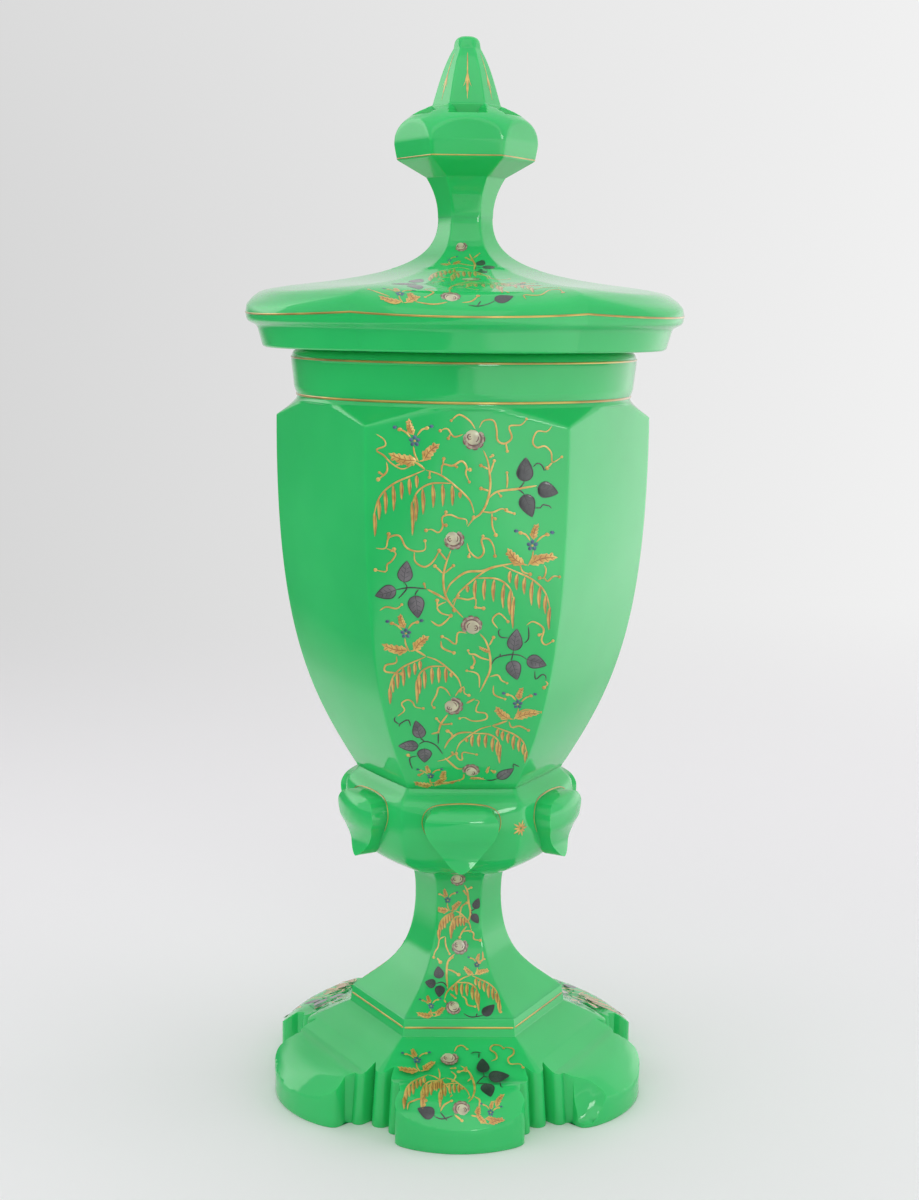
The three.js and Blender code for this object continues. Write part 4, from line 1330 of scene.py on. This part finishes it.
# each paint: its material and the slot that it fills
paints = {
    "gold": (makePaint("gold relief", (0.72, 0.47, 0.12), (0.54, 0.29, 0.06), 0.25, 0.36), "gilding"),
    "ochre": (makePaint("ochre shading", (0.42, 0.18, 0.035), (0.30, 0.12, 0.025), 0.2, 0.45), "gilding"),
    "line": (makePaint("gilt line", (0.62, 0.43, 0.09), (0.40, 0.25, 0.05), 0.5, 0.28, 60), "gilding"),
    "cream": (makePaint("cream enamel", (0.60, 0.58, 0.38), (0.45, 0.42, 0.28), 0, 0.3), "enamel"),
    "petal": (makePaint("rose grey enamel", (0.42, 0.33, 0.25), (0.24, 0.15, 0.12), 0, 0.3, 900), "enamel"),
    "mauve": (makePaint("mauve brown enamel", (0.20, 0.095, 0.075), (0.13, 0.06, 0.05), 0, 0.35), "enamel"),
    "slate": (makePaint("slate enamel", (0.15, 0.14, 0.15), (0.07, 0.07, 0.075), 0, 0.4, 150), "enamel"),
    "coal": (makePaint("coal enamel", (0.045, 0.05, 0.05), (0.02, 0.022, 0.025), 0, 0.35, 150), "enamel"),
    "black": (makePaint("black enamel", (0.03, 0.03, 0.035), (0.018, 0.018, 0.02), 0, 0.4), "enamel"),
    "blue": (makePaint("blue enamel", (0.06, 0.14, 0.24), (0.035, 0.08, 0.15), 0, 0.35), "enamel"),
}


def turnCopies(bm, headings):
    # repeats what is at the front at other headings
    source = bm.verts[:] + bm.edges[:] + bm.faces[:]
    if not source:
        return
    for heading in headings:
        copy = bmesh.ops.duplicate(bm, geom=source)["geom"]
        bmesh.ops.rotate(bm, verts=[g for g in copy if isinstance(g, bmesh.types.BMVert)], cent=(0, 0, 0),
                         matrix=Matrix.Rotation(heading, 3, "Z"))


def finishStrokes(bm, name, body, colour):
    material, slot = paints[colour]
    finishMesh(bm, name, body, material, paint["sharpAngle"])


def finishPainting(colours, where, body):
    for colour, bm in colours.items():
        if bm.verts:
            finishStrokes(bm, colour + "_on_" + where, body, colour)
        else:
            bm.free()


def paintPanels():
    # each is painted once at the front, turned to its first heading and copied to the others
    for where, panel, painting, body, turns in (
            ("bowl", bowlPanel, bowlPainting, "vase", (0, 2, 4)),
            ("stem", stemPanel, stemPainting, "vase", (0, 2, 4)),
            ("foot", footPanel, footPainting, "vase", (0,)),
            ("foot_sides", footSidePanel, footPainting, "vase", (2, 4)),
            ("cover", coverPanel, coverPainting, "cover", (0,)),
            ("cover_sides", coverSidePanel, coverPainting, "cover", (2, 4))):
        colours = {colour: bmesh.new() for colour in paints}
        paintFace(colours, panel, painting)
        for bm in colours.values():
            bmesh.ops.rotate(bm, verts=bm.verts, cent=(0, 0, 0),
                             matrix=Matrix.Rotation(turns[0] * sideAngle, 3, "Z"))
            turnCopies(bm, [(turn - turns[0]) * sideAngle for turn in turns[1:]])
        finishPainting(colours, where, body)
        print(where, "painted")


# Gilt lines: rings round the body, the outlines of the bosses, stars on the collar and spears on the spire
def gildRing(bm, radiusAt, heightAt, width, steps=240):
    # the ring is spun at the table's height and at a radius of its own, and then moved on to the glass
    spun = rings["spunRadius"]
    upright = Matrix.Translation((spun, 0, 0)) @ Matrix.Rotation(pi / 2, 4, "X")
    section = bmesh.ops.create_circle(bm, segments=8, radius=width / 2, matrix=upright)["verts"]
    edges = list(dict.fromkeys(e for v in section for e in v.link_edges))
    bmesh.ops.spin(bm, geom=section + edges, cent=(0, 0, 0), axis=(0, 0, 1), angle=2 * pi, steps=steps,
                   use_merge=True)
    for vert in bm.verts:
        radius = hypot(vert.co.x, vert.co.y)
        if abs(radius - spun) > width or abs(vert.co.z) > width:
            continue
        away = fromFace(headingOf(vert.co.x, vert.co.y))
        newRadius = radiusAt(away) + (radius - spun) * rings["relief"]
        vert.co.x *= newRadius / radius
        vert.co.y *= newRadius / radius
        vert.co.z += heightAt(away)


rings = {
    "spunRadius": 50.0,
    "relief": 0.45,  # how much of its thickness a ring keeps
    "neckTop": (304.6, 0.75, 69.85),  # height, width and distance from the axis
    "neckBottom": (289.9, 0.9, 67.75),
    "riser": (34.4, 0.95, 39.1),
    "coverRim": (321.6, 0.7),  # height and width
    "knob": (382.9, 0.5),
    "facedSteps": 360,
}


def level(height):
    return lambda away: height


def makeRings():
    vaseLines = bmesh.new()
    for name in ("neckTop", "neckBottom"):
        height, width, radius = rings[name]
        gildRing(vaseLines, level(radius), level(height), width)
    height, width, flat = rings["riser"]
    gildRing(vaseLines, lambda away: sixSided(flat / flatness, away, 0, 0.35), level(height), width,
             rings["facedSteps"])
    coverLines = bmesh.new()
    height, width = rings["coverRim"]
    gildRing(coverLines, lambda away: lobeReach(away, 0.0),
             lambda away: height + cover["lineWave"] * towardsNotch(away), width, rings["facedSteps"])
    height, width = rings["knob"]
    gildRing(coverLines, lambda away: sixSided(knobFaces(height), away, 0, finial["softness"]),
             level(height), width, rings["facedSteps"])
    return vaseLines, coverLines


def onCollar(heading, height):
    reach = sixSided(collarCorner(height), fromFace(heading), collarRoundness(height), collar["softness"])
    out = Vector((sin(heading), -cos(heading), 0))
    return out * reach + Vector((0, 0, height)), out


def collarPoint(u, v):
    # u runs round the collar from a face's middle, v is the height
    return onCollar(atan2(u, collarCorner(v) * flatness), v)


def cornerPoint(u, v):
    # the same round a corner of the collar
    return onCollar(sideAngle / 2 + u / collar["ornamentRadius"], v)


ornaments = {
    "starHeight": 119.4,
    "starRays": 10,
    "starReaches": (3.7, 2.9),
    "seamGap": 0.45,  # how far above its boss a gilt outline runs
    "seamSpread": 1.03,
    "seamFrom": 114.0,
}


def makeOrnaments():
    spear = bmesh.new()
    for path, width, kind in (([(0, 1.5), (0, 21)], 0.5, "line"), ([(0, 4), (0, 9)], 1.0, "line"),
                              ([(0, 12.5), (-0.8, 8.6), (-1.7, 6.6)], 0.55, "tail"),
                              ([(0, 12.5), (0.8, 8.6), (1.7, 6.6)], 0.55, "tail"),
                              ([(0, 6), (0, 13)], 1.1, "drop")):
        dab(spear, spirePanel, path, width, kind, 0.16)
    turnCopies(spear, [k * sideAngle for k in range(1, sides)])
    star = bmesh.new()
    middle = ornaments["starHeight"]
    for k in range(ornaments["starRays"]):
        a = 2 * pi * k / ornaments["starRays"]
        reach = ornaments["starReaches"][k % 2]
        ray = [(r * cos(a), middle + r * sin(a)) for r in (0.3, reach)]
        dab(star, cornerPoint, ray, 0.9, "drop", 0.22, 0.05, 7)
    turnCopies(star, (2 * sideAngle, 4 * sideAngle))
    seam = bmesh.new()
    top = [(x * ornaments["seamSpread"], z + ornaments["seamGap"]) for x, z in shieldOutline()
           if z > ornaments["seamFrom"] and x >= 0]
    left = [(-x, z) for x, z in reversed(top)]
    dab(seam, collarPoint, top + left[1:], 0.42, "line", 0.22, 0.05, 70)
    turnCopies(seam, [k * sideAngle for k in range(1, sides)])
    return spear, star, seam


def gild():
    vaseLines, coverLines = makeRings()
    spear, star, seam = makeOrnaments()
    finishStrokes(vaseLines, "gilt_lines_on_vase", "vase", "line")
    finishStrokes(coverLines, "gilt_lines_on_cover", "cover", "line")
    finishStrokes(seam, "gilt_boss_outlines", "vase", "line")
    finishStrokes(spear, "gilt_spears", "cover", "gold")
    finishStrokes(star, "gilt_stars", "vase", "gold")


paintPanels()
gild()
print("gilding made")


# Stage, lamps and camera
stage = {
    "floorColour": (0.875, 0.858, 0.868, 1),
    "halfWidth": 7.0,
    "cornerDistance": 1.6,
    "wallHeight": 3.6,
    "bend": 0.8,
    "front": -6.0,
    # the backdrop's painted light: the grey levels of its glow from left to right, by how far sideways they
    # are for each
    # metre that they are away from the front: what lies beyond shownSideways is only reflected in the glass
    "lowShades": [(-0.5, 0.12), (-0.29, 0.66), (0.3, 0.89), (0.6, 1.7)],
    "highShades": [(-1.2, 2.3), (-0.3, 0.7), (0.3, 0.89), (1.0, 1.1)],
    "shadeSpan": 2.0,  # how far to either side the shades can reach
    "shownSideways": 0.28,
    "softness": 0.1,
    "awayAtAxis": 0.74,
    "nearest": 0.25,
    "shadesMeet": (0.35, 1.1),  # the heights between which the low shades change to the high ones
    "glowBehind": (0.1, 1.3),  # how far behind the axis the sweep turns into a glowing backdrop of painted light
}


def greyRamp(nodes, links, source, shades):
    ramp = nodes.new("ShaderNodeValToRGB")
    stops = ramp.color_ramp.elements
    for k, (x, grey) in enumerate(shades):
        stop = stops[k] if k < 2 else stops.new(0.99)
        stop.position = 0.5 + x / (2 * stage["shadeSpan"])
        stop.color = (grey, grey, grey, 1)
    links.new(source, ramp.inputs["Fac"])
    return ramp.outputs["Color"]


def fade(nodes, links, source, start, end):
    # 0 up to the start, 1 from the end
    change = nodes.new("ShaderNodeMapRange")
    change.interpolation_type = "SMOOTHSTEP"
    change.inputs["From Min"].default_value = start
    change.inputs["From Max"].default_value = end
    links.new(source, change.inputs["Value"])
    return change.outputs["Result"]


def combine(nodes, links, operation, *terms):
    result = nodes.new("ShaderNodeMath")
    result.operation = operation
    for socket, term in zip(result.inputs, terms):
        if isinstance(term, (int, float)):
            socket.default_value = term
        else:
            links.new(term, socket)
    return result.outputs[0]


def mixColours(nodes, links, share, first, second):
    mix = nodes.new("ShaderNodeMix")
    mix.data_type = "RGBA"
    links.new(share, mix.inputs["Factor"])
    links.new(first, mix.inputs["A"])
    links.new(second, mix.inputs["B"])
    return mix.outputs["Result"]


def makeSweepMaterial():
    # near the object the sweep takes light and shadow from the lamps. Further behind it glows with painted
    # light instead, and in what the glass reflects it also glows to the sides
    material, nodes, links, shader = newMaterial("pale sweep")
    shader.inputs["Base Color"].default_value = stage["floorColour"]
    shader.inputs["Roughness"].default_value = 0.6
    place = nodes.new("ShaderNodeTexCoord")
    split = nodes.new("ShaderNodeSeparateXYZ")
    links.new(place.outputs["Object"], split.inputs["Vector"])
    x, y, z = split.outputs["X"], split.outputs["Y"], split.outputs["Z"]
    away = combine(nodes, links, "ADD", y, stage["awayAtAxis"])
    path = nodes.new("ShaderNodeLightPath")
    mirrored = combine(nodes, links, "MAXIMUM", path.outputs["Is Glossy Ray"],
                       path.outputs["Is Transmission Ray"])
    # the camera sees only the gentle middle part of the painted light, from wherever it looks
    limit = combine(nodes, links, "MULTIPLY_ADD", mirrored, stage["shadeSpan"], stage["shownSideways"])
    sideways = combine(nodes, links, "DIVIDE", x, combine(nodes, links, "MAXIMUM", away, stage["nearest"]))
    sideways = combine(nodes, links, "MINIMUM", sideways, limit)
    sideways = combine(nodes, links, "MAXIMUM", sideways, combine(nodes, links, "MULTIPLY", limit, -1.0))
    across = nodes.new("ShaderNodeMapRange")
    across.inputs["From Min"].default_value = -stage["shadeSpan"]
    across.inputs["From Max"].default_value = stage["shadeSpan"]
    links.new(sideways, across.inputs["Value"])
    low = greyRamp(nodes, links, across.outputs["Result"], stage["lowShades"])
    high = greyRamp(nodes, links, across.outputs["Result"], stage["highShades"])
    # the glow is painted light: grey levels that change from left to right and with the height
    glow = nodes.new("ShaderNodeEmission")
    raised = fade(nodes, links, z, *stage["shadesMeet"])
    links.new(mixColours(nodes, links, raised, low, high), glow.inputs["Color"])
    back = fade(nodes, links, y, *stage["glowBehind"])
    outward = combine(nodes, links, "ABSOLUTE", sideways)
    shown = stage["shownSideways"]
    beside = fade(nodes, links, outward, shown, shown + stage["softness"])
    seen = combine(nodes, links, "MAXIMUM", path.outputs["Is Camera Ray"], mirrored)
    glowShare = combine(nodes, links, "MAXIMUM", back, beside)
    blend = nodes.new("ShaderNodeMixShader")
    links.new(combine(nodes, links, "MULTIPLY", seen, glowShare), blend.inputs["Fac"])
    links.new(shader.outputs["BSDF"], blend.inputs[1])
    links.new(glow.outputs["Emission"], blend.inputs[2])
    links.new(blend.outputs["Shader"], nodes["Material Output"].inputs["Surface"])
    return material


def makeStage():
    bm = bmesh.new()
    line = [(stage["front"], 0.0), (0.0, 0.0)]
    far, bend = stage["cornerDistance"], stage["bend"]
    angles = [pi / 2 * k / 12 for k in range(13)]
    line += [(far + bend * sin(t), bend * (1 - cos(t))) for t in angles]
    line.append((far + bend, stage["wallHeight"]))
    verts = [bm.verts.new((-stage["halfWidth"], y, z)) for y, z in line]
    edges = [bm.edges.new(pair) for pair in zip(verts, verts[1:])]
    made = bmesh.ops.extrude_edge_only(bm, edges=edges)["geom"]
    bmesh.ops.translate(bm, verts=[g for g in made if isinstance(g, bmesh.types.BMVert)],
                        vec=(2 * stage["halfWidth"], 0, 0))
    bmesh.ops.recalc_face_normals(bm, faces=bm.faces)
    mesh = bpy.data.meshes.new("pale_sweep")
    bm.to_mesh(mesh)
    bm.free()
    mesh.shade_smooth()
    mesh.materials.append(makeSweepMaterial())
    sweep = bpy.data.objects.new("pale_sweep", mesh)
    bpy.context.scene.collection.objects.link(sweep)


def addLamp(name, place, size, power, mirrored=False, lights=True, aim=(0, 0, 0.2)):
    light = bpy.data.lights.new(name, "AREA")
    light.shape = "RECTANGLE"
    light.size, light.size_y = size
    light.energy = power
    lamp = bpy.data.objects.new(name, light)
    lamp.location = place
    lamp.rotation_euler = (Vector(aim) - Vector(place)).to_track_quat("-Z", "Y").to_euler()
    lamp.visible_glossy = mirrored
    lamp.visible_diffuse = lights
    bpy.context.scene.collection.objects.link(lamp)


lighting = {
    "colour": (0.97, 0.98, 1.0, 1),
    "world": 0.58,
    "reflected": 0.8,  # the room in front of the object, as the glass reflects it
    "left": 5.5,
    "right": 11.0,
    "top": 7.0,
    "front": 17.5,
    "spark": 3.4,  # seen only as highlights on the glass
}


def makeLight():
    world = bpy.data.worlds.new("studio")
    bpy.context.scene.world = world
    world.use_nodes = True
    nodes, links = world.node_tree.nodes, world.node_tree.links
    background = nodes["Background"]
    background.inputs["Color"].default_value = lighting["colour"]
    path = nodes.new("ShaderNodeLightPath")
    seen = combine(nodes, links, "MAXIMUM", path.outputs["Is Camera Ray"], path.outputs["Is Glossy Ray"])
    strength = nodes.new("ShaderNodeMapRange")
    strength.inputs["To Min"].default_value = lighting["world"]
    strength.inputs["To Max"].default_value = lighting["reflected"]
    links.new(seen, strength.inputs["Value"])
    links.new(strength.outputs["Result"], background.inputs["Strength"])
    # the glass mirrors only the two lamps in front, and elsewhere the backdrop
    addLamp("left softbox", (-1.7, -0.6, 0.9), (1.2, 1.2), lighting["left"])
    addLamp("right softbox", (1.7, -0.3, 0.8), (2.0, 2.0), lighting["right"])
    addLamp("top softbox", (0.0, 0.3, 1.8), (1.6, 1.2), lighting["top"])
    addLamp("front fill", (-0.5, -2.3, 1.9), (3.6, 2.2), lighting["front"], True)
    addLamp("front spark", (0.53, -2.07, 0.52), (0.45, 0.35), lighting["spark"], True, False,
            (0.06, -0.05, 0.01))


cameraPlace = {
    "distance": 0.7427,
    "height": 0.3262,
    "heading": -1.3,
    "pitch": 9.265,
    "roll": 0.6,
    "aside": 0.06,  # degrees that it looks to the side of the axis
    "focalPixels": 1816.2,
    "longSidePixels": 1200,
    "sensor": 36,
}


def makeCamera():
    heading = radians(cameraPlace["heading"])
    data = bpy.data.cameras.new("camera")
    data.sensor_width = cameraPlace["sensor"]
    data.lens = cameraPlace["sensor"] * cameraPlace["focalPixels"] / cameraPlace["longSidePixels"]
    data.clip_start = 0.01
    camera = bpy.data.objects.new("camera", data)
    distance = cameraPlace["distance"]
    camera.location = (distance * sin(heading), -distance * cos(heading), cameraPlace["height"])
    turn = (Matrix.Rotation(heading + radians(cameraPlace["aside"]), 4, "Z")
            @ Matrix.Rotation(radians(90 - cameraPlace["pitch"]), 4, "X")
            @ Matrix.Rotation(radians(cameraPlace["roll"]), 4, "Z"))
    camera.rotation_euler = turn.to_euler()
    bpy.context.scene.collection.objects.link(camera)
    bpy.context.scene.camera = camera


makeStage()
makeLight()
makeCamera()
bpy.context.scene.view_settings.view_transform = "Standard"
print("stage, light and camera made")
